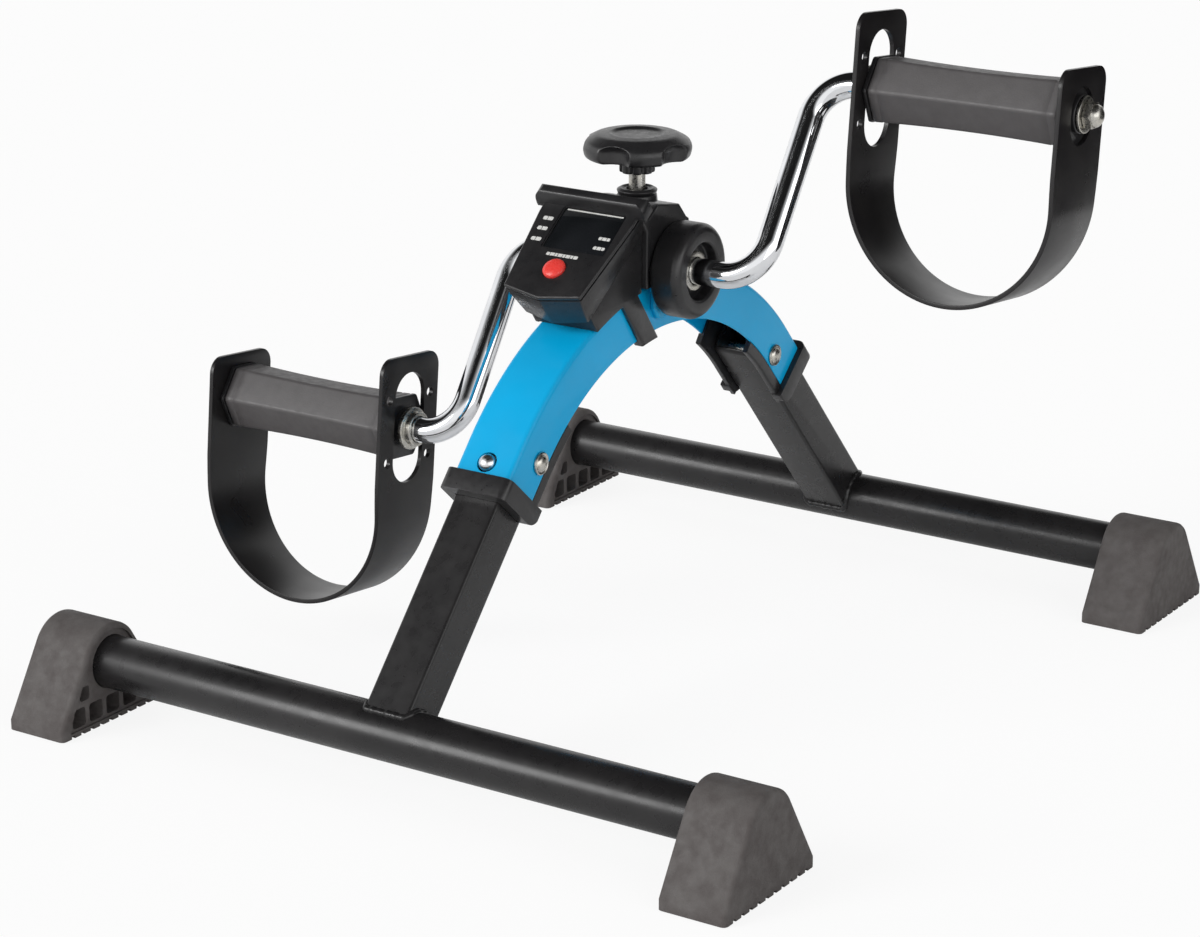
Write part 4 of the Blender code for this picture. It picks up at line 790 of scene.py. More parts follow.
inside = CHANNEL_HALF_WIDTH - CHANNEL_WALL
ceiling = CHANNEL_TOP - CHANNEL_WALL
section = eased([(CHANNEL_LOW, CHANNEL_HALF_WIDTH, 0.0004), (CHANNEL_TOP, CHANNEL_HALF_WIDTH, BEND),
                 (CHANNEL_TOP, -CHANNEL_HALF_WIDTH, BEND), (CHANNEL_LOW, -CHANNEL_HALF_WIDTH, 0.0004),
                 (CHANNEL_LOW, -inside, 0.0004), (ceiling, -inside, BEND - CHANNEL_WALL),
                 (ceiling, inside, BEND - CHANNEL_WALL), (CHANNEL_LOW, inside, 0.0004)], 6)
arch = draw("blue_arch", [front_view @ Vector((CHANNEL_END_S, n, x)) for n, x in section])
bpy.ops.mesh.edge_face_add()
push(0, COS * CHANNEL_STRAIGHT, SIN * CHANNEL_STRAIGHT)
bpy.ops.mesh.spin(steps=84, angle=2 * LEG_ANGLE, center=(0, 0, ARCH_Z), axis=(1, 0, 0))
push(0, COS * CHANNEL_STRAIGHT, -SIN * CHANNEL_STRAIGHT)
close_up()
for view in (front_view, rear_view):
    drill(arch, PIN_RADIUS + GAP, -THROUGH, THROUGH, view @ AT_PIVOT)
    drill(arch, SNAP_RADIUS + 2.7 * GAP, LEG_HALF_DEPTH, THROUGH, view @ ALONG_N)
notch = box(-NOTCH_HALF, SHAFT_Z - NOTCH_DROP, NOTCH_HALF, SHAFT_Z)
carve(arch, lay(slab("shaft_notch", notch, -THROUGH, THROUGH), ALONG_X))
settle(arch, "frame", "blue_paint", "arch_channel", smooth=40)

# %% [markdown]
# ## Hinges
# Each end of the channel holds a black plastic liner, which keeps the leg from rattling. It has a collar
# round the leg and a lip that covers the channel's cut edge. The collar is drawn as a section across the
# leg, and the lip follows the arch by the same extrude and spin as the channel.

# %% Two liners
COLLAR_HALF_WIDTH = 0.018
COLLAR_TOP = 0.0185
COLLAR_LOW = -0.0155
COLLAR_LENGTH = 0.010
COLLAR_ROUND = 0.0075
LIP_REACH = 0.028
LIP_INSET = 0.002
WEB_TOP = 0.009
WEB_INNER = 0.01235
WEB_OUTER = 0.0134

ON_FRAME = ("frame", "frame")
stop = CHANNEL_END_S - GAP
start = stop - COLLAR_LENGTH
clear_x, clear_n = LEG_HALF_WIDTH + GAP, LEG_HALF_DEPTH + GAP
collar = eased([(COLLAR_LOW, COLLAR_HALF_WIDTH, 0.001), (COLLAR_LOW, clear_x, 0.0004),
                (clear_n, clear_x, 0.0006), (clear_n, -clear_x, 0.0006),
                (COLLAR_LOW, -clear_x, 0.0004), (COLLAR_LOW, -COLLAR_HALF_WIDTH, 0.001),
                (COLLAR_TOP, -COLLAR_HALF_WIDTH, 0.004), (COLLAR_TOP, COLLAR_HALF_WIDTH, 0.004)], 6)
liner = lay(slab("liner", collar, start, stop), ALONG_X)
cheek = eased([(start, COLLAR_TOP + PAST, 0), (stop + PAST, COLLAR_TOP + PAST, 0),
               (stop + PAST, COLLAR_LOW, 0), (start, COLLAR_LOW, COLLAR_ROUND)], 10)
carve(liner, slab("cheek_outline", cheek, -THROUGH, THROUGH), "INTERSECT")
soften(liner, 0.0025, 5, 55)

lip_start = start + LIP_INSET
lip_low, lip_high = COLLAR_LOW + 2 * GAP, CHANNEL_LOW - GAP
lip_section = eased([(lip_low, WEB_INNER, 0.0003), (WEB_TOP, WEB_INNER, 0), (WEB_TOP, WEB_OUTER, 0),
                     (lip_high, WEB_OUTER, 0), (lip_high, CHANNEL_HALF_WIDTH, 0.0003),
                     (lip_low, CHANNEL_HALF_WIDTH, 0.0010)], 4)
for hand in (1, -1):
    lip = draw("lip", [(n, hand * x, lip_start) for n, x in lip_section])
    bpy.ops.mesh.edge_face_add()
    push(0, 0, TANGENT_S - lip_start)
    bpy.ops.mesh.spin(steps=14, angle=LIP_REACH / ARCH_RADIUS, center=(-ARCH_RADIUS, 0, TANGENT_S),
                      axis=(0, 1, 0))
    close_up()
    carve(liner, lay(lip, ALONG_X), "UNION")
drill(liner, PIN_RADIUS + GAP, -THROUGH, THROUGH, AT_PIVOT)
two_of(liner, "channel_liner", "black_plastic", "liner", ON_FRAME, (front_view, rear_view))

# %% [markdown]
# The hinge pin is a rivet through both sides of the channel. Its head is a flat ring with a low dome inside
# it, as a riveting tool leaves it. Both heads and the shank are one profile, mirrored and spun.

# %% Two rivets
HEAD_RADIUS = 0.0055
HEAD_HEIGHT = 0.0024
seat = CHANNEL_HALF_WIDTH + GAP

# A radius, and the height there as a share of the head's height.
head = [(0, 1), (0.0010, 0.97), (0.0022, 0.86), (0.0032, 0.66), (0.0038, 0.44), (0.0041, 0.26),
        (0.0044, 0.30), (0.0049, 0.42), (0.0053, 0.36), (HEAD_RADIUS, 0.20),
        (HEAD_RADIUS, 0), (PIN_RADIUS, 0)]
half_rivet = [(radius, seat + share * HEAD_HEIGHT) for radius, share in head]
rivet = lathe("rivet", half_rivet + [(radius, -height) for radius, height in reversed(half_rivet)], 48)
two_of(rivet, "hinge_rivet", "zinc_plate", "hinge_pin", ON_FRAME,
       (front_view @ AT_PIVOT, rear_view @ AT_PIVOT))

# %% [markdown]
# The leg is locked open by a snap clip: a strip of spring steel, folded double inside the leg, with a round
# button that pops out through the leg and the channel. Its side view is drawn as a bent strip, and the
# button is spun and joined on. When the button is pressed, the arm behind it moves in and the other arm
# stays against the leg.

# %% Two snap clips
CLIP_THICK = 0.001
CLIP_HALF_WIDTH = 0.0045
CLIP_TIP = 0.0057
CLIP_BACK = 0.0183
CLIP_BEND_RADIUS = 0.0064
SNAP_RISE = 0.003
SNAP_SIDE = 0.0006

tip_s, tip_n = SNAP_S + CLIP_TIP, LEG_HALF_DEPTH - LEG_WALL - CLIP_THICK
middle = [(tip_s, tip_n)] + arc((SNAP_S - CLIP_BACK, 0), CLIP_BEND_RADIUS, 90, 270, 20) + [(tip_s, -tip_n)]
strip = []
for i, spot in enumerate(middle):
    along = (Vector(middle[min(i + 1, len(middle) - 1)]) - Vector(middle[max(i - 1, 0)])).normalized()
    strip.append((Vector(spot), Vector((-along.y, along.x)) * CLIP_THICK / 2))
outline = [tuple(spot + out) for spot, out in strip] + [tuple(spot - out) for spot, out in reversed(strip)]
clip = soften(slab("front_snap_spring", outline, -CLIP_HALF_WIDTH, CLIP_HALF_WIDTH), 0.0002, 2, 50)
root = tip_n - CLIP_THICK * 0.6
cap = dome(SNAP_RADIUS, CHANNEL_TOP - SNAP_SIDE, SNAP_RISE + SNAP_SIDE)
carve(clip, lay(lathe("snap_button", cap + [(SNAP_RADIUS, root), (0, root)], 48), ALONG_N), "UNION")
rear_clip = copy_of(clip, "rear_snap_spring")
still, pressed = Vector((SNAP_S, -tip_n, 0)), Vector((SNAP_S, tip_n - CLIP_THICK, 0))
for each, end, view in ((clip, "front", front_view), (rear_clip, "rear", rear_view)):
    settle(each, end + "_snap", "spring_steel", end + "_snap_clip", place=view, held_by=end + "_leg",
           held_at=(view @ still, view @ pressed))

# %% [markdown]
# ## Bearing cups
# A black cup on each side of the arch hides the crank's bearing. It is a thick disc with soft edges, sunk
# in the middle where the rod and its washer come out. All of it is one profile, spun.

# %% Two bearing cups
CUP_X = 0.0206
CUP_FACE = 0.0370
CUP_RADIUS = 0.023
CUP_FLOOR = 0.0310
CUP_RECESS = 0.0138
ROD_RADIUS = 0.00635
SLEEVE_ROOM = 0.00835
SLEEVE_END = 0.0222

profile = eased([(CUP_RECESS, CUP_FACE, 0.0014), (CUP_RADIUS, CUP_FACE, 0.0042), (CUP_RADIUS, CUP_X, 0.0030),
                 (SLEEVE_ROOM, CUP_X, 0.0003), (SLEEVE_ROOM, SLEEVE_END, 0),
                 (ROD_RADIUS + 2 * GAP, SLEEVE_END, 0), (ROD_RADIUS + 2 * GAP, CUP_FLOOR, 0.0003),
                 (CUP_RECESS - GAP, CUP_FLOOR, 0.0010)], 8)
AT_SHAFT = side_view(0, SHAFT_Z)
two_of(lathe("cup", profile, 96), "bearing_housing", "black_plastic", "bearing_cup", ON_FRAME,
       (AT_SHAFT, HALF_TURN @ AT_SHAFT), SIDES)

# %% [markdown]
# ## Tension knob
# The knob is a round cap with five finger hollows. A real one comes out of its mould with every edge softly
# blended, which a Bevel can't do where curves meet. So the cap is spun, the hollows and the notches of its
# hub are cut, and the whole is remeshed into small even faces and smoothed.

# %% The knob
KNOB_TOP = 0.2654
KNOB_RADIUS = 0.0262
SKIRT_LOW = 0.2532
HUB_LOW = 0.2462
HUB_RADIUS = 0.0085
SCREW_RADIUS = 0.004
BORE_TOP = 0.2534
HOLLOW_RADIUS = 0.0098
HOLLOW_OUT = 0.0300
HOLLOW_ROOF = KNOB_TOP - 0.0014
HOLLOW_ROUND = 0.005
FIRST_HOLLOW = -84
NOTCH_RADIUS = 0.0013
DISH = 0.0011
VOXEL = 0.00042

cap = eased([(0, KNOB_TOP - DISH, 0), (0.0108, KNOB_TOP - DISH, 0.003), (0.0128, KNOB_TOP, 0.0016),
             (0.0195, KNOB_TOP - 0.0006, 0.008), (0.0252, KNOB_TOP - 0.0036, 0.004),
             (KNOB_RADIUS, KNOB_TOP - 0.0070, 0.004), (0.0250, SKIRT_LOW, 0.0030),
             (HUB_RADIUS, SKIRT_LOW + 0.0008, 0.0008), (HUB_RADIUS, HUB_LOW, 0.0006),
             (SCREW_RADIUS + GAP, HUB_LOW, 0.0003), (SCREW_RADIUS + GAP, BORE_TOP, 0), (0, BORE_TOP, 0)], 6)
knob = lathe("tension_hand_knob", cap, 120)
hollow = dome(HOLLOW_RADIUS, HOLLOW_ROOF - HOLLOW_ROUND, HOLLOW_ROUND, 9)
hollow += [(HOLLOW_RADIUS, SKIRT_LOW - 0.006), (0, SKIRT_LOW - 0.006)]
for i in range(5):
    carve(knob, lay(lathe("finger_hollow", hollow, 48), around(HOLLOW_OUT, FIRST_HOLLOW + 72 * i)))
for i in range(8):
    drill(knob, NOTCH_RADIUS, HUB_LOW - 0.002, SKIRT_LOW, around(HUB_RADIUS, 45 * i + 10), 16)
pick_up(knob)
even = knob.modifiers.new("even", "REMESH")
even.mode = "VOXEL"
even.voxel_size = VOXEL
bpy.ops.object.modifier_apply(modifier=even.name)
blended = knob.modifiers.new("blended", "SMOOTH")
blended.factor = 0.5
blended.iterations = 9
bpy.ops.object.modifier_apply(modifier=blended.name)
settle(knob, "knob", "black_plastic", "tension_knob", smooth=60)

# %% [markdown]
# The knob turns a steel screw that presses the brake shoe onto the crank. Its upper part is smooth and
# bright, and the thread starts inside the cover. The thread is drawn as a row of ridges and spun. The
# grommet is the flared black ring where the screw goes in.

# %% Screw and grommet
SCREW_TIP = 0.2108
SCREW_HEAD = BORE_TOP - GAP
THREAD_TOP = 0.2350
THREAD_PITCH = 0.00125
THREAD_DEPTH = 0.0006
SCREW_CHAMFER = 0.0004
COVER_RISE = 0.0335
COVER_ROOF = SHAFT_Z + COVER_RISE

root = SCREW_RADIUS - THREAD_DEPTH
profile = [(0, SCREW_HEAD), (SCREW_RADIUS - SCREW_CHAMFER, SCREW_HEAD),
           (SCREW_RADIUS, SCREW_HEAD - SCREW_CHAMFER)]
for i in range(int((THREAD_TOP - SCREW_TIP - 0.001) / THREAD_PITCH)):
    high = THREAD_TOP - i * THREAD_PITCH
    profile += [(SCREW_RADIUS, high), (SCREW_RADIUS, high - 0.0002)]
    profile += [(root, high - 0.0006), (root, high - 0.0008)]
profile += [(root, SCREW_TIP + SCREW_CHAMFER), (root - SCREW_CHAMFER, SCREW_TIP), (0, SCREW_TIP)]
screw = lathe("knob_tension_screw", profile, 40)
settle(screw, "knob", "zinc_plate", "knob_screw")

hole = SCREW_RADIUS + 4 * GAP
seat = COVER_ROOF + GAP
flare = eased([(hole, seat, 0), (0.0092, seat, 0.0004), (0.0098, seat + 0.0016, 0.0006),
               (0.0080, seat + 0.0026, 0.0006), (0.0064, seat + 0.0018, 0.0006),
               (hole, seat + 0.0022, 0.0003)], 5)
grommet = lathe("screw_hole_grommet", flare, 56)
settle(grommet, "frame", "black_plastic", "screw_grommet")

# %% [markdown]
# ## Cover and display
# The cover is a plastic box over the bearing. Its roof falls towards the back and ends in a bevel, and a
# round boss carries the grommet. It is drawn from the side, rounded, hollowed, and drilled for the shaft
# and the screw. A thin rib runs down each side, along the slope of the display.

# %% The crown cover
PANEL_ANGLE = math.radians(36)
PANEL_LENGTH = 0.062
CASE_DEPTH = 0.020
COVER_REAR = 0.0146
COVER_HALF_WIDTH = 0.0203
COVER_WALL = 0.002
COVER_FLOOR = CROWN_Z - 0.0002
SHAFT_ROOM = 0.0131
PANEL_Y = -0.085
PANEL_RISE = 0.0074
PANEL_UP = (0, math.cos(PANEL_ANGLE), math.sin(PANEL_ANGLE))
PANEL = place_from((0, PANEL_Y, CROWN_Z + PANEL_RISE), (1, 0, 0), PANEL_UP)


def panel_yz(p, q):
    """The side-view point at p up the panel's slope and q into the case."""
    spot = PANEL @ Vector((0, p, -q))
    return spot.y, spot.z


front_y, front_z = panel_yz(PANEL_LENGTH + GAP, CASE_DEPTH + GAP)
lean_y = front_y - math.tan(PANEL_ANGLE) * (COVER_ROOF - front_z)
roof = [(lean_y, COVER_ROOF, 0), (-0.0130, COVER_ROOF, 0.004), (0.0058, COVER_ROOF - 0.0038, 0.0012),
        (0.0124, COVER_ROOF - 0.0112, 0.0012), (COVER_REAR, COVER_ROOF - 0.0124, 0.0010)]
outer = eased(roof + [(COVER_REAR, COVER_FLOOR, 0), (front_y, COVER_FLOOR, 0), (front_y, front_z, 0)], 5)
cover = soften(slab("crown_top_cover", outer, -COVER_HALF_WIDTH, COVER_HALF_WIDTH), 0.0009, 3, 40)
ceiling = COVER_ROOF - COVER_WALL
room = [(lean_y + 2.4 * COVER_WALL, ceiling), (-0.0134, ceiling), (0.0050, ceiling - 0.0038),
        (0.0110, ceiling - 0.0104), (COVER_REAR - COVER_WALL, ceiling - 0.0112),
        (COVER_REAR - COVER_WALL, COVER_FLOOR - THROUGH), (front_y + COVER_WALL, COVER_FLOOR - THROUGH),
        (front_y + COVER_WALL, front_z + 0.0008)]
carve(cover, slab("cover_room", room, COVER_WALL - COVER_HALF_WIDTH, COVER_HALF_WIDTH - COVER_WALL))
drill(cover, SHAFT_ROOM, -THROUGH, THROUGH, Matrix.Translation((0, SHAFT_Z, 0)), 48)

# %% Ribs, boss and screw hole of the cover
RIB_HALF = 0.0006
BOSS_DROP = 0.0056

rib_top, rib_foot = Vector((-0.0142, COVER_ROOF - 0.0006)), Vector((-0.0216, COVER_ROOF - 0.0060))
across = (rib_foot - rib_top).orthogonal().normalized() * RIB_HALF
rib = [rib_top - across, rib_top + across, rib_foot + across, rib_foot - across]
for hand in (1, -1):
    low, high = sorted((hand * (COVER_HALF_WIDTH - 0.0004), hand * (COVER_HALF_WIDTH + 0.0006)))
    carve(cover, soften(slab("rib", rib, low, high), 0.0004, 3, 50), "UNION")
lay(cover, ALONG_X)
boss = eased([(0, COVER_ROOF, 0), (0.0094, COVER_ROOF, 0.0006), (0.0100, COVER_ROOF - BOSS_DROP, 0),
              (0, COVER_ROOF - BOSS_DROP, 0)], 4)
carve(cover, lathe("grommet_boss", boss, 64), "UNION")
drill(cover, SCREW_RADIUS + 3 * GAP, ceiling - 0.010, COVER_ROOF + 0.006, HERE)
settle(cover, "frame", "black_plastic", "crown_cover")

# %% [markdown]
# The display's case is wide at the face and narrow where it meets the arch, and a tab runs down each side
# of the channel to hold it. Two outlines are drawn, one for the face and one for the foot, and bridged. The
# tabs are joined on, and the space of the channel is cut away.

# %% The display case
FACE_HALF = 0.026
FACE_FRONT_HALF = 0.021
FACE_NOSE = 0.004
FACE_SHOULDER = 0.050
CASE_FOOT_FRONT_HALF = 0.0176
CASE_FOOT_HALF = 0.0181
FACE_CORNER = 0.0012
BEZEL_THICK = 0.0025
TAB_FRONT, TAB_MIDDLE, TAB_REAR = 0.008, 0.030, 0.042
TAB_WALL = 0.0023
TAB_DROP = 0.0028
ROOM_FRONT_INSET = 0.0075
ROOM_INSET = 0.0085


def face_outline(front_half, half, tip, nose, far, radius, steps=5):
    """An outline on the panel: pointed a little at the user's end, with straight sides past its shoulders."""
    return eased([(0, tip, 0.004), (front_half, nose, radius), (half, FACE_SHOULDER, 0.006),
                  (half, far, radius), (-half, far, radius), (-half, FACE_SHOULDER, 0.006),
                  (-front_half, nose, radius)], steps)


case_top = BEZEL_THICK + GAP
upper = face_outline(FACE_FRONT_HALF, FACE_HALF, 0, FACE_NOSE, PANEL_LENGTH, FACE_CORNER)
lower = face_outline(CASE_FOOT_FRONT_HALF, CASE_FOOT_HALF, 0.0015, 0.0055, PANEL_LENGTH, FACE_CORNER)
case = draw("display_body", [(x, p, -case_top) for x, p in upper])
bpy.ops.object.mode_set(mode="OBJECT")
under = draw("display_under", [(x, p, -CASE_DEPTH) for x, p in lower])
clear_hands()
under.select_set(True)
case.select_set(True)
bpy.context.view_layer.objects.active = case
bpy.ops.object.join()
bpy.ops.object.mode_set(mode="EDIT")
bpy.ops.mesh.select_all(action="SELECT")
bpy.ops.mesh.bridge_edge_loops()
bpy.ops.mesh.select_mode(type="EDGE")
bpy.ops.mesh.select_all(action="DESELECT")
bpy.ops.mesh.select_non_manifold()
bpy.ops.mesh.fill_holes(sides=0)
bpy.ops.mesh.select_mode(type="VERT")
close_up()
lay(case, PANEL)
print("case has", len(case.data.polygons), "faces")

# %% Tabs down the channel, and the room inside
hub = Vector((0, ARCH_Z))
edge = ARCH_RADIUS + CHANNEL_LOW - GAP
crown = ARCH_RADIUS + CHANNEL_TOP + GAP


def down_to(p, radius):
    """Where a line square to the panel, at p up its slope, comes within a radius of the arch's middle."""
    begin = Vector(panel_yz(p, 0)) - hub
    into = Vector(panel_yz(p, 1)) - hub - begin
    half = begin.dot(into)
    return panel_yz(p, -half - math.sqrt(half * half - begin.length_squared + radius * radius))


back_y = front_y - 0.0001
sunk = crown - 3 * GAP
tab = [panel_yz(TAB_FRONT, CASE_DEPTH - GAP), panel_yz(PANEL_LENGTH - 4 * GAP, CASE_DEPTH - GAP)]
tab += [(back_y, front_z), (back_y, ARCH_Z + math.sqrt(crown * crown - back_y * back_y) - 3 * GAP)]
tab += [down_to(TAB_REAR, sunk)]
tab += [down_to(TAB_REAR + (TAB_MIDDLE - TAB_REAR) * i / 6, edge - TAB_DROP) for i in range(7)]
tab += [down_to(TAB_MIDDLE + (TAB_FRONT - TAB_MIDDLE) * i / 8, sunk) for i in range(9)]
tab_half = CHANNEL_HALF_WIDTH + TAB_WALL
foot_of_case = soften(slab("case_foot", tab, -tab_half, tab_half), 0.0007, 2, 50)
carve(case, lay(foot_of_case, ALONG_X), "UNION")
side = CHANNEL_HALF_WIDTH + GAP
at_hub = side_view(0, ARCH_Z)
channel_room = lathe("channel_room", box(edge, side, crown, -side), 240)
carve(case, lay(channel_room, at_hub))
within = CHANNEL_HALF_WIDTH - TAB_WALL
drill(case, crown, -within, within, at_hub, 240)
room = face_outline(FACE_FRONT_HALF - ROOM_FRONT_INSET, FACE_HALF - ROOM_INSET, 0.0042, 0.0055,
                    PANEL_LENGTH - BEZEL_THICK, 0.001, 3)
carve(case, lay(slab("case_room", room, -CASE_DEPTH + 0.0035, 0.006), PANEL))
soften(case, 0.0006, 2, 48)
settle(case, "frame", "black_plastic", "display_case")

# %% [markdown]
# The face of the display is a thin lid with a rounded hood across its top, a window and a hole for the
# button. The window's rim is sunk a little, so its upper edge catches the light.

# %% The display's face
WINDOW_LEFT, WINDOW_RIGHT = -0.013, 0.020
WINDOW_NEAR, WINDOW_FAR = 0.030, 0.054
BUTTON_P = 0.0176
BUTTON_RADIUS = 0.0055
HOOD_HALF_WIDTH = 0.030
HOOD_DEPTH = 0.0075
HOOD_HEIGHT = 0.0066
HOOD_ROUND = 0.0052
SILL = 0.0011
GLASS_LEVEL = -0.0008

bezel = soften(slab("display_face", upper, -BEZEL_THICK, 0), 0.0009, 3, 40)
hood_near = PANEL_LENGTH - HOOD_DEPTH
hood = eased([(PANEL_LENGTH, -BEZEL_THICK, 0.0006), (PANEL_LENGTH, HOOD_HEIGHT, 0.0030),
              (hood_near + 0.0016, HOOD_HEIGHT, 0.0022), (hood_near, -0.0006, 0.0003),
              (hood_near, -BEZEL_THICK, 0)], 8)
hood_bar = lay(slab("hood_bar", hood, -HOOD_HALF_WIDTH, HOOD_HALF_WIDTH), ALONG_X)
low, wide = -2 * BEZEL_THICK, HOOD_HALF_WIDTH
ends = eased([(-wide, low, 0), (wide, low, 0), (wide, HOOD_HEIGHT, HOOD_ROUND),
              (-wide, HOOD_HEIGHT, HOOD_ROUND)], 8)
front_on = place_from((0, PANEL_LENGTH, 0), (1, 0, 0), (0, 0, 1))
carve(hood_bar, lay(slab("hood_ends", ends, -0.02, 0.02), front_on), "INTERSECT")
carve(bezel, soften(hood_bar, 0.0006, 3, 50), "UNION")
sight = rounded_box(WINDOW_LEFT - GAP, WINDOW_NEAR - GAP, WINDOW_RIGHT + GAP, WINDOW_FAR + GAP, 0.0008)
carve(bezel, slab("sight", sight, -PAST, PAST))
sill = rounded_box(WINDOW_LEFT - SILL, WINDOW_NEAR - SILL, WINDOW_RIGHT + SILL, WINDOW_FAR + 0.0004,
                   FACE_CORNER)
carve(bezel, slab("sill", sill, -0.0005, PAST))
drill(bezel, BUTTON_RADIUS + GAP, -PAST, PAST, Matrix.Translation((0, BUTTON_P, 0)), 56)
settle(bezel, "frame", "black_plastic", "display_bezel", place=PANEL)

# %% [markdown]
# The window is a dark glass over the display's cell. A thin pale strip along its upper edge is a painted
# highlight, where the sunk rim catches the light. Small bars of pale ink stand where such a display has its
# printed words. They are plain marks and not letters.

# %% Window, painted highlight and marks
pane = rounded_box(WINDOW_LEFT, WINDOW_NEAR, WINDOW_RIGHT, WINDOW_FAR, 0.0006)
window = soften(slab("display_window", pane, -case_top, GLASS_LEVEL), 0.0002, 2, 40)
settle(window, "frame", "lcd_glass", "lcd_window", place=PANEL)

MARK_THICK = 0.00012
DASH = 0.0022
SPACE_HALF = 0.00018
HIGHLIGHT_INSET = 0.001
HIGHLIGHT_NEAR, HIGHLIGHT_FAR = 0.0531, 0.0539
# The pale strip is a painted highlight: pale ink along the window's upper edge, where the sunk rim catches
# the light.
highlight_edge = rounded_box(WINDOW_LEFT + HIGHLIGHT_INSET, HIGHLIGHT_NEAR, WINDOW_RIGHT - HIGHLIGHT_INSET, HIGHLIGHT_FAR, 0.0002)
strip = slab("window_painted_highlight", highlight_edge, GLASS_LEVEL, GLASS_LEVEL + MARK_THICK)
soften(strip, 0.00003, 1, 40)
settle(strip, "frame", "panel_ink", place=PANEL)


def ink_mark(name, left, right, p, height, level=0.0):
    """A small printed bar, broken into a few dashes as a word is."""
    edge = rounded_box(left, p - height / 2, right, p + height / 2, 0.3 * height)
    bar = slab(name, edge, level - 0.00002, level + MARK_THICK)
    parts = round((right - left) / DASH)
    for i in range(1, parts):
        x = left + (right - left) * (i + 0.12 * (-1) ** i) / parts
        carve(bar, slab("space", box(x - SPACE_HALF, p - height, x + SPACE_HALF, p + height), -0.001, 0.001))
    return settle(bar, "frame", "panel_ink", place=PANEL)


LEFT_MARKS = (0.0460, 0.0398, 0.0332)
LEFT_SPAN = (-0.0212, -0.0158)
RIGHT_MARKS = (0.0396, 0.0338)
RIGHT_SPAN = (0.0126, 0.0188)
BUTTON_MARK = 0.0258
BUTTON_SPAN = (-0.0086, 0.0086)
MARK_HEIGHT = 0.0018
for i, p in enumerate(LEFT_MARKS):
    ink_mark("left_mark_%d" % (i + 1), *LEFT_SPAN, p, 0.0021)
for i, p in enumerate(RIGHT_MARKS):
    ink_mark("right_mark_%d" % (i + 1), *RIGHT_SPAN, p, MARK_HEIGHT, GLASS_LEVEL)
ink_mark("button_mark", *BUTTON_SPAN, BUTTON_MARK, MARK_HEIGHT)

# %% [markdown]
# The button is a red dome that the user presses to change what the display shows. Its flange under the face
# keeps it from falling out. It is one profile, spun.

# %% The red button
BUTTON_RISE = 0.0026
BUTTON_SIDE = 0.0006
BUTTON_FLANGE = 0.0068
BUTTON_STEM = 0.003
flange_top = -case_top - GAP
flange_low = flange_top - 0.0012
stem_end = flange_top - 0.0018
profile = dome(BUTTON_RADIUS, BUTTON_SIDE, BUTTON_RISE - BUTTON_SIDE)
profile += [(BUTTON_RADIUS, flange_top), (BUTTON_FLANGE, flange_top), (BUTTON_FLANGE, flange_low),
            (BUTTON_STEM, flange_low), (BUTTON_STEM, stem_end), (0, stem_end)]
button = lathe("red_mode_dome", profile, 56)
settle(button, "button", "red_button", "mode_button", place=PANEL @ Matrix.Translation((0, BUTTON_P, 0)))

# %% [markdown]
# ## Crank
# Each crank is one steel rod, bent twice in the same plane and chromed. It is made as a bender makes it: a
# disc is extruded straight, spun round the middle of the first bend, extruded along the arm, spun back
# round the second bend, and extruded again. Its end is inset to the thin stud that takes the nut. The left
# one is the right one turned half round.

# %% Two bent rods
ROD_START_X = 0.0025
CRANK_RADIUS = 0.101
CRANK_ANGLE = math.radians(58.5)
ARM_X = 0.067
ARM_END_X = 0.070
BEND_RADIUS = 0.020
ROD_END_X = 0.2047
STUD_RADIUS = 0.004
STUD_LENGTH = 0.0065
ROD_CHAMFER = 0.0005
CRANK = place_from((0, 0, SHAFT_Z), (1, 0, 0), (0, math.cos(CRANK_ANGLE), math.sin(CRANK_ANGLE)))

arm = Vector((ARM_END_X - ARM_X, CRANK_RADIUS, 0))
swing = math.atan2(arm.y, arm.x)
trim = BEND_RADIUS * math.tan(swing / 2)
arm_way = arm.normalized()

clear_hands()
bpy.ops.mesh.primitive_circle_add(vertices=56, radius=ROD_RADIUS, fill_type="NGON",
                                  location=(ROD_START_X, 0, 0), rotation=(0, math.pi / 2, 0))
crank = bpy.context.object
bpy.ops.object.transform_apply(location=True, rotation=True, scale=True)
bpy.ops.object.mode_set(mode="EDIT")
push(ARM_X - trim - ROD_START_X, 0, 0)
bpy.ops.mesh.spin(steps=28, angle=swing, center=(ARM_X - trim, BEND_RADIUS, 0), axis=(0, 0, -1))
push(*(arm_way * (arm.length - 2 * trim)))
bend_end = Vector((ARM_X, 0, 0)) + arm_way * (arm.length - trim)
bend_middle = bend_end + Vector((arm_way.y, -arm_way.x, 0)) * BEND_RADIUS
bpy.ops.mesh.spin(steps=28, angle=swing, center=bend_middle, axis=(0, 0, 1))
push(ROD_END_X - ARM_END_X - trim - ROD_CHAMFER, 0, 0)
push(ROD_CHAMFER, 0, 0)
neck = (ROD_RADIUS - ROD_CHAMFER) / ROD_RADIUS
bpy.ops.transform.resize(value=(1, neck, neck), center_override=(ROD_END_X, CRANK_RADIUS, 0))
push(0, 0, 0)
neck = STUD_RADIUS / (ROD_RADIUS - ROD_CHAMFER)
bpy.ops.transform.resize(value=(1, neck, neck), center_override=(ROD_END_X, CRANK_RADIUS, 0))
push(STUD_LENGTH, 0, 0)
close_up()
CRANKS = (CRANK, CRANK @ HALF_TURN)
ON_CRANK = ("crank", "crank")
two_of(crank, "crank_rod", "chrome_rod", "crank", ON_CRANK, CRANKS, SIDES, smooth=40)

# %% [markdown]
# Zinc hardware sits on each rod: a washer in the bearing cup, a flanged collar against the strap, and a
# washer and a domed nut on the end. The washers and the collar are spun. The nut starts as a six-sided
# slab, its corners are turned off by a cone as on a lathe, and the dome is joined on.

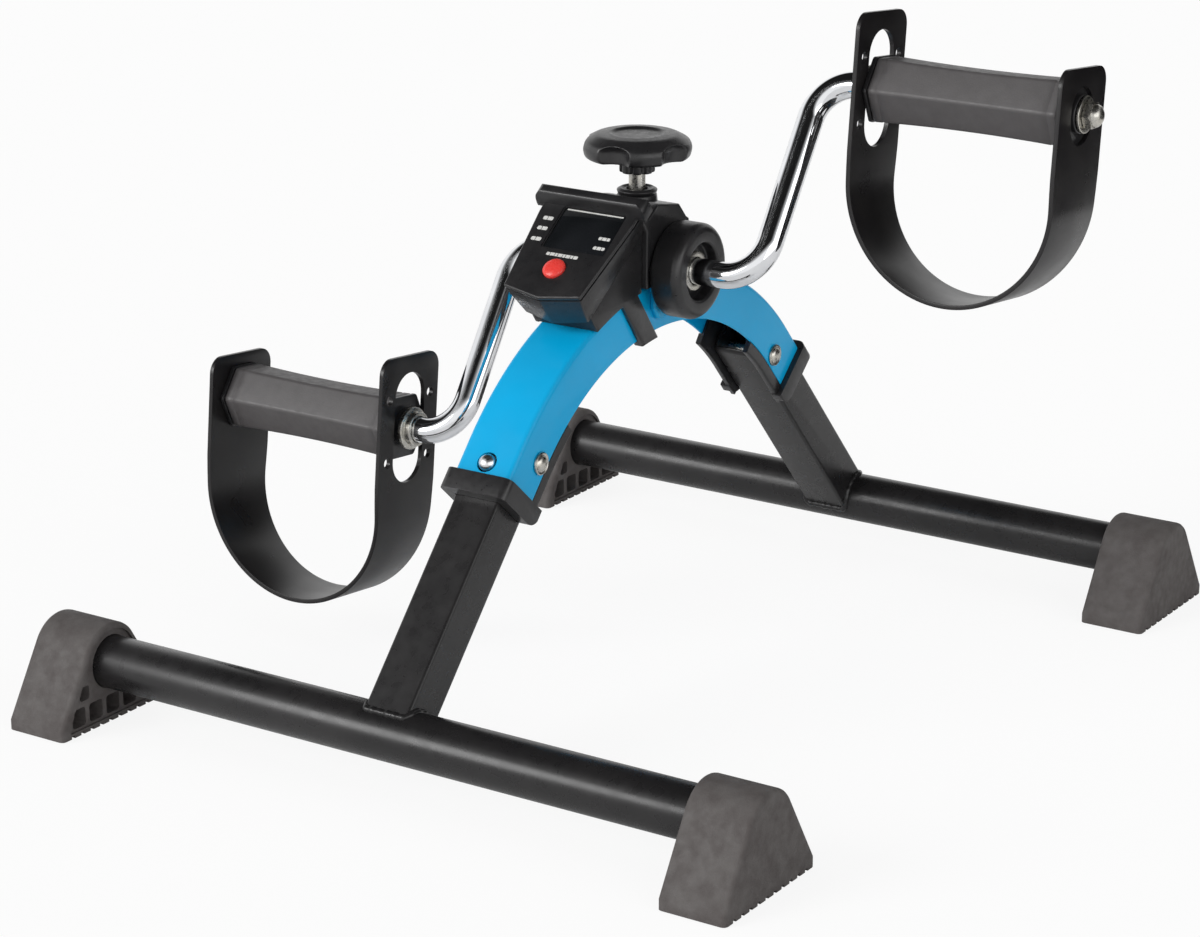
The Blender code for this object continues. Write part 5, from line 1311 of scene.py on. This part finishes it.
# %% Washers, collars and domed nuts
SHAFTS = [way @ ALONG_X for way in CRANKS]
AXLES = [way @ side_view(CRANK_RADIUS) for way in CRANKS]
ROD_BORE = ROD_RADIUS + 0.00025
WASHER_RADIUS = 0.0095
WASHER_LOW, WASHER_HIGH = 0.0313, 0.0333
COLLAR_END = 0.0970
COLLAR_FLANGE = 0.0105
COLLAR_RADIUS = 0.0085
COLLAR_REACH = 0.0055
END_WASHER_RADIUS = 0.0086
END_WASHER_THICK = 0.0015
END_SEAT = ROD_END_X + GAP
END_WASHER_TOP = END_SEAT + END_WASHER_THICK

washer = ring("washer", ROD_BORE, WASHER_RADIUS, WASHER_LOW, WASHER_HIGH)
two_of(washer, "shaft_washer", "zinc_plate", "axle_washer", ON_CRANK, SHAFTS, SIDES)
collar = eased([(ROD_BORE, COLLAR_END, 0.0003), (COLLAR_FLANGE, COLLAR_END, 0.0004),
                (COLLAR_FLANGE, COLLAR_END - 0.002, 0.0004), (COLLAR_RADIUS, COLLAR_END - 0.0023, 0.0002),
                (COLLAR_RADIUS, COLLAR_END - COLLAR_REACH, 0.0007),
                (ROD_BORE, COLLAR_END - COLLAR_REACH, 0.0003)], 4)
two_of(lathe("collar", collar, 56), "zinc_collar", "zinc_plate", "rod_collar", ON_CRANK, AXLES, SIDES)
washer = ring("washer", STUD_RADIUS + GAP, END_WASHER_RADIUS, END_SEAT, END_WASHER_TOP)
two_of(washer, "strap_washer", "zinc_plate", "end_washer", ON_CRANK, AXLES, SIDES)

NUT_RADIUS = 0.0066
NUT_HEIGHT = 0.004
NUT_TURN = 0.0006
CAP_RADIUS = 0.0054
CAP_RISE = 0.0038
HEXAGON = [(math.cos(math.radians(60 * i)), math.sin(math.radians(60 * i))) for i in range(6)]
nut_low = END_WASHER_TOP + GAP
nut_high = nut_low + NUT_HEIGHT
nut = slab("nut", [(NUT_RADIUS * u, NUT_RADIUS * v) for u, v in HEXAGON], nut_low, nut_high)
turned_off = [(0, nut_low), (NUT_RADIUS - 0.0007, nut_low), (NUT_RADIUS + 0.0003, nut_low + NUT_TURN),
              (NUT_RADIUS + 0.0003, nut_high - NUT_TURN), (NUT_RADIUS - 0.0007, nut_high), (0, nut_high)]
carve(nut, lathe("turned_off", turned_off, 72), "INTERSECT")
cap = dome(CAP_RADIUS, nut_high, CAP_RISE) + [(CAP_RADIUS, nut_low + 0.001), (0, nut_low + 0.001)]
carve(nut, lathe("nut_dome", cap, 56), "UNION")
drill(nut, STUD_RADIUS + GAP, nut_low - 0.004, ROD_END_X + STUD_LENGTH + GAP, HERE)
two_of(nut, "domed_nut", "zinc_plate", "cap_nut", ON_CRANK, AXLES, SIDES)

# %% [markdown]
# ## Pedals
# A pedal is a six-sided tread on two plugs, with a strap that loops under it. The tread is a stretched skin
# over a core, a little thinner in its middle. One six-sided ring is drawn, then extruded along the rod and
# scaled at each step.

# %% Two treads
PEDAL_TILT = math.radians(-6)
PEDAL_Y = CRANK_RADIUS * math.cos(CRANK_ANGLE)
PEDAL_RISE = CRANK_RADIUS * math.sin(CRANK_ANGLE)
TILT = Matrix.Rotation(PEDAL_TILT, 4, "X")
MIRROR = Matrix.Diagonal((-1, 1, 1, 1))
RIGHT_PEDAL = Matrix.Translation((0, PEDAL_Y, SHAFT_Z + PEDAL_RISE)) @ TILT
LEFT_PEDAL = Matrix.Translation((0, -PEDAL_Y, SHAFT_Z - PEDAL_RISE)) @ TILT @ MIRROR
PEDALS = (RIGHT_PEDAL, LEFT_PEDAL)
ON_PEDALS = ("right_pedal", "left_pedal")
TREAD_LOW, TREAD_HIGH = 0.1027, 0.1993
TREAD_RADIUS = 0.0161
TREAD_CORNER = 0.0024
TREAD_BORE = 0.0085
TREAD_WAIST = 0.0775

ring_outline = eased([(TREAD_RADIUS * y, TREAD_RADIUS * z, TREAD_CORNER) for y, z in HEXAGON], 6)
middle = (TREAD_LOW + TREAD_HIGH) / 2
half = (TREAD_HIGH - TREAD_LOW) / 2
# How far in from the tread's end, and the size there: a soft edge and a shallow groove.
rim = [(0, 0.945), (0.0004, 0.975), (0.0012, 1.0), (0.0042, 1.0), (0.0047, 0.985), (0.0053, 0.985),
       (0.0058, 1.0)]
plain = half - rim[-1][0]
stations = [(x - half, size) for x, size in rim]
stations += [(plain * (i / 12 - 1), 1.0) for i in range(1, 24)]
stations += [(half - x, size) for x, size in reversed(rim)]
sizes = [(middle + x, size * (1 + TREAD_WAIST * (x / half) ** 2)) for x, size in stations]
tread = draw("tread", [(sizes[0][0], sizes[0][1] * y, sizes[0][1] * z) for y, z in ring_outline])
bpy.ops.mesh.edge_face_add()
for (x, size), (next_x, next_size) in zip(sizes, sizes[1:]):
    push(next_x - x, 0, 0)
    step = next_size / size
    bpy.ops.transform.resize(value=(1, step, step), center_override=(next_x, 0, 0))
close_up()
drill(tread, TREAD_BORE, TREAD_LOW - PAST, TREAD_HIGH + PAST, ALONG_X)
two_of(tread, "pedal_tread", "grey_tread", "tread", ON_PEDALS, PEDALS, SIDES)

# %% [markdown]
# A plastic plug in each end of the tread runs on the rod. Its boss stands in the strap's slot, and its
# six-sided flange keeps the strap and the tread apart. The round part is spun, and the flange is a slab
# joined to it. The inner and the outer plug are the same, turned round.

# %% Four plugs
PLUG_BORE = ROD_RADIUS + GAP
SPIGOT_WALL = 0.00155
SPIGOT = PLUG_BORE + SPIGOT_WALL
INNER_PLATE_X, OUTER_PLATE_X = 0.099, 0.203
STRAP_THICK = 0.0022
FLANGE_RADIUS = 0.0176
FLANGE_THICK = 0.002
SPIGOT_LENGTH = 0.0136
BOSS_RADIUS = 0.009
BOSS_OUT = 0.0016
flange_outline = eased([(FLANGE_RADIUS * y, FLANGE_RADIUS * z, TREAD_CORNER) for y, z in HEXAGON], 6)


def plug(plate, inward):
    """A plug for the strap's plate at x; inward is 1 or -1, the way to the tread's middle."""
    end = plate - inward * BOSS_OUT
    flange = plate + inward * (STRAP_THICK / 2 + GAP)
    shoulder = flange + inward * FLANGE_THICK
    tip = shoulder + inward * SPIGOT_LENGTH
    inside = flange + inward * FLANGE_THICK / 2
    profile = [(PLUG_BORE, tip, 0), (SPIGOT, tip, 0.0003), (SPIGOT, inside, 0), (BOSS_RADIUS, inside, 0),
               (BOSS_RADIUS, end, 0.0006), (PLUG_BORE, end, 0.0003)]
    low, high = sorted((flange, shoulder))
    disc = soften(slab("flange", flange_outline, low, high), 0.0004, 2, 40)
    drill(disc, PLUG_BORE + 2 * GAP, low - FLANGE_THICK, high + FLANGE_THICK, HERE)
    return lay(carve(lathe("plug", eased(profile, 4), 56), disc, "UNION"), ALONG_X)


for where, plate, inward in (("inner", INNER_PLATE_X, 1), ("outer", OUTER_PLATE_X, -1)):
    two_of(plug(plate, inward), where + "_tread_plug", "black_plastic", where + "_plug", ON_PEDALS, PEDALS,
           SIDES)

# %% [markdown]
# The strap is one flat strip of stiff plastic, bent into a loop. Its ends stand up as plates with rounded
# corners and long slots, and it narrows towards the bottom. One edge of the strip is drawn, copied to the
# other side, bridged into a ribbon, and given its thickness by Solidify.

# %% Two straps
STRAP_HALF = 0.023
STRAP_LOW_HALF = 0.018
INNER_TOP, OUTER_TOP = 0.036, 0.021
STRAP_CORNER = 0.008
STRAP_TURN = -0.042
TAPER_START = -0.030
TAPER = 0.064

loop_radius = (OUTER_PLATE_X - INNER_PLATE_X) / 2
loop_middle = (OUTER_PLATE_X + INNER_PLATE_X) / 2


def corner_steps(top):
    """Heights down a plate, close together where its corners are round."""
    turns = [math.radians(90 * i / 8) for i in range(9)]
    return [top - STRAP_CORNER * (1 - math.cos(turn)) for turn in turns]


line = [(INNER_PLATE_X, z, INNER_TOP) for z in corner_steps(INNER_TOP)]
plate = INNER_TOP - STRAP_CORNER - STRAP_TURN
line += [(INNER_PLATE_X, STRAP_TURN + plate * i / 10, INNER_TOP) for i in range(9, 0, -1)]
line += [(x, z, 1) for x, z in arc((loop_middle, STRAP_TURN), loop_radius, 180, 360, 72)]
plate = OUTER_TOP - STRAP_CORNER - STRAP_TURN
line += [(OUTER_PLATE_X, STRAP_TURN + plate * i / 8, OUTER_TOP) for i in range(1, 8)]
line += [(OUTER_PLATE_X, z, OUTER_TOP) for z in reversed(corner_steps(OUTER_TOP))]
edge_line = []
for x, z, top in line:
    drop = min(max((TAPER_START - z) / TAPER, 0), 1)
    half = STRAP_HALF + (STRAP_LOW_HALF - STRAP_HALF) * drop
    below = min(top - z, STRAP_CORNER)
    half -= STRAP_CORNER - math.sqrt(STRAP_CORNER ** 2 - (STRAP_CORNER - below) ** 2)
    edge_line.append((x, half, z))
strap = draw("strap", edge_line, closed=False)
bpy.ops.mesh.duplicate()
bpy.ops.transform.resize(value=(1, -1, 1), center_override=(0, 0, 0))
bpy.ops.mesh.select_all(action="SELECT")
bpy.ops.mesh.bridge_edge_loops()
close_up()
pick_up(strap)
wall = strap.modifiers.new("wall", "SOLIDIFY")
wall.thickness = STRAP_THICK
wall.offset = 0
wall.use_even_offset = True
bpy.ops.object.modifier_apply(modifier=wall.name)
soften(strap, 0.0006, 3, 60)
length = sum((Vector(here) - Vector(there)).length for here, there in zip(edge_line, edge_line[1:]))
print("strap is", round(1000 * length), "mm long")

# %% Slots and holes in the straps
INNER_SLOT_HALF, INNER_SLOT_REACH = 0.0119, 0.0275
OUTER_SLOT_HALF, OUTER_SLOT_REACH, OUTER_SLOT_DROP = 0.0112, 0.0134, 0.0010
HOLE_Y, HOLE_Z = 0.0165, 0.0155
HOLE_RADIUS = 0.0025


def plate_cut(outline, x):
    """A cutter through the strap's plate at x."""
    return lay(slab("plate_cut", outline, x - 0.005, x + 0.005), ALONG_X)


def oblong(half_width, half_length, drop=0.0):
    """A slot with round ends."""
    straight = half_length - half_width
    upper = arc((0, straight - drop), half_width, 0, 180, 20)
    return upper + arc((0, -straight - drop), half_width, 180, 360, 20)


carve(strap, plate_cut(oblong(INNER_SLOT_HALF, INNER_SLOT_REACH), INNER_PLATE_X))
carve(strap, plate_cut(oblong(OUTER_SLOT_HALF, OUTER_SLOT_REACH, OUTER_SLOT_DROP), OUTER_PLATE_X))
for spot in box(-HOLE_Y, HOLE_Z, HOLE_Y, -HOLE_Z):
    carve(strap, plate_cut(arc(spot, HOLE_RADIUS, 0, 345, 23), INNER_PLATE_X))
two_of(strap, "foot_strap", "strap_plastic", "strap", ON_PEDALS, PEDALS, SIDES)

# %% [markdown]
# ## What stays from the CAD
# Some nodes are right as they are: bushes, pins, the bracket under the cover, and what is inside the
# display. They keep their meshes and get the finish of their slot.

# %% Finishes for the nodes that stay
slot_of = {part["node"]: part["material_slot"] for part in frame["record"]["subparts"]}
kept = []
for name, node in frame["nodes"].items():
    if not node.hide_render:
        for place in node.material_slots:
            place.material = FINISH[slot_of[name]]
        kept.append(name)
print("kept from the CAD:", ", ".join(sorted(kept)))
